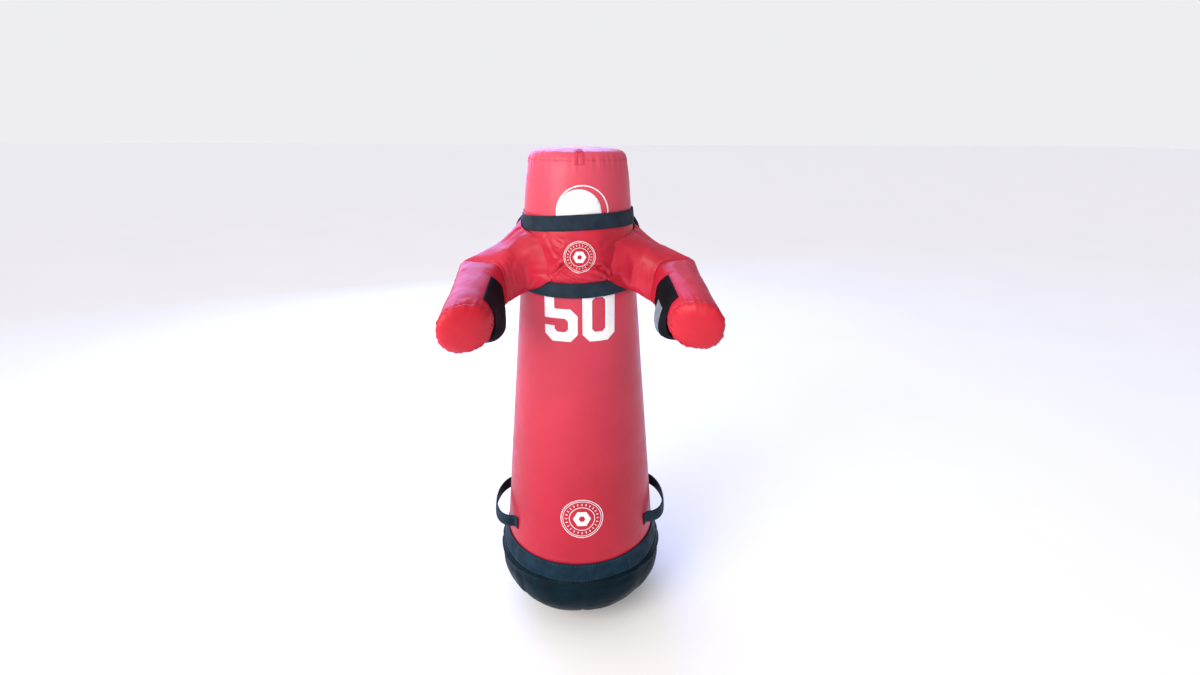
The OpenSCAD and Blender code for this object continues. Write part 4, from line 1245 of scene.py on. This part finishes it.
def birch_plywood(name):
    """Birch plywood: pale rotary-cut veneer with long soft grain, sanded and left bare."""
    made, tree, where = start_material(name)
    drawn = add(tree, "ShaderNodeMapping", {"Vector": where, "Scale": (1.0, 9.0, 60.0)})
    grain = add(tree, "ShaderNodeTexNoise", {
        "Vector": drawn.outputs[0], "Scale": 1000 / 90, "Detail": 6.0, "Distortion": 1.2})
    tone = add(tree, "ShaderNodeMix", {
        0: grain.outputs[0], 6: linear("#d9b98a"), 7: linear("#a87f4e")}, data_type="RGBA")
    raised = add(tree, "ShaderNodeBump", {
        "Height": grain.outputs[0], "Strength": 0.2, "Distance": 0.0004})
    return finish_material(made, add(tree, "ShaderNodeBsdfPrincipled", {
        "Base Color": tone.outputs[2], "Roughness": 0.7, "IOR": 1.5,
        "Normal": raised.outputs[0]}))


paint(nodes["base_board"], birch_plywood("birch_plywood_bare"))

# ---- Floor, light and camera ----
# A plain pale studio floor, a soft warm-white lamp in front to the left, a broad cool one behind
# like an evening sky, and pale walls all round.
FAR = 60000                     # far enough that the floor's edge is never near
floor = new_piece("studio_floor", [(-FAR, -FAR, 0), (FAR, -FAR, 0), (FAR, FAR, 0),
                                   (-FAR, FAR, 0)], [(0, 1, 2, 3)])
pale, tree, where = start_material("painted_floor_pale")
tone, _ = drift(tree, where, 900, "#f7f7f8", "#f4f4f6")
floor.data.materials.append(finish_material(pale, add(tree, "ShaderNodeBsdfPrincipled", {
    "Base Color": tone, "Roughness": 0.95, "Specular IOR Level": 0.1,
    "Emission Color": linear("#ffffff"), "Emission Strength": 0.1})))

# the studio's walls: white to the left and in front, shaded to the right, and a little cool
# behind; the camera sees one even white
world = bpy.data.worlds.new("studio")
world.use_nodes = True
tree = world.node_tree
backdrop = tree.nodes["Background"]
direction = add(tree, "ShaderNodeTexCoord").outputs["Generated"]
towards = add(tree, "ShaderNodeSeparateXYZ", {0: direction})
behind = add(tree, "ShaderNodeMapRange", {
    "Value": towards.outputs["Y"], "From Min": -0.2, "From Max": 0.7},
    interpolation_type="SMOOTHSTEP")
shaded = add(tree, "ShaderNodeMapRange", {
    "Value": towards.outputs["X"], "From Min": -0.3, "From Max": 0.8, "To Min": 1.15,
    "To Max": 0.4}, interpolation_type="SMOOTHSTEP")
walls = add(tree, "ShaderNodeMix", {
    0: behind.outputs[0], 6: linear("#fffcf8"), 7: linear("#dcdcf6")}, data_type="RGBA")
lit = add(tree, "ShaderNodeVectorMath", {0: walls.outputs[2]}, operation="SCALE")
tree.links.new(shaded.outputs[0], lit.inputs["Scale"])
seen = add(tree, "ShaderNodeMix", {
    0: add(tree, "ShaderNodeLightPath").outputs["Is Camera Ray"], 6: lit.outputs[0],
    7: linear("#eeeef2")}, data_type="RGBA")
tree.links.new(seen.outputs[2], backdrop.inputs["Color"])
bpy.context.scene.world = world


def lamp(name, place, target, size, power, colour):
    data = bpy.data.lights.new(name, "AREA")
    data.shape, data.size, data.energy, data.color = "DISK", size, power, linear(colour)[:3]
    made = bpy.data.objects.new(name, data)
    made.location = place
    made.rotation_euler = (Vector(target) - Vector(place)).to_track_quat("-Z", "Y").to_euler()
    bpy.context.scene.collection.objects.link(made)


lamp("key_soft", (-2.4, -2.5, 2.5), (0, 0, 1.2), 2.4, 95, "#fff6ee")
lamp("sky_behind", (-1.1, 3.4, 2.7), (0, 0, 1.2), 3.6, 140, "#8aa6ff")

scene = bpy.context.scene
scene.view_settings.view_transform = "Standard"
camera = bpy.data.objects.new("camera", bpy.data.cameras.new("camera"))
scene.collection.objects.link(camera)
scene.camera = camera
camera.data.sensor_width, camera.data.lens = 36, 16.94
camera.data.clip_start, camera.data.clip_end = 0.05, 200
CAMERA_HEADING, CAMERA_PITCH, CAMERA_ROLL = math.radians(3.43), math.radians(20.3), 0.00546
look = Vector((math.sin(CAMERA_HEADING) * math.cos(CAMERA_PITCH),
               math.cos(CAMERA_HEADING) * math.cos(CAMERA_PITCH), -math.sin(CAMERA_PITCH)))
level_right = look.cross(Vector((0, 0, 1))).normalized()
level_up = level_right.cross(look)
right = level_right * math.cos(CAMERA_ROLL) + level_up * math.sin(CAMERA_ROLL)
up = level_up * math.cos(CAMERA_ROLL) - level_right * math.sin(CAMERA_ROLL)
camera.matrix_world = Matrix((right, up, -look)).transposed().to_4x4()
camera.location = (-0.0334, -1.6532, 1.5550)
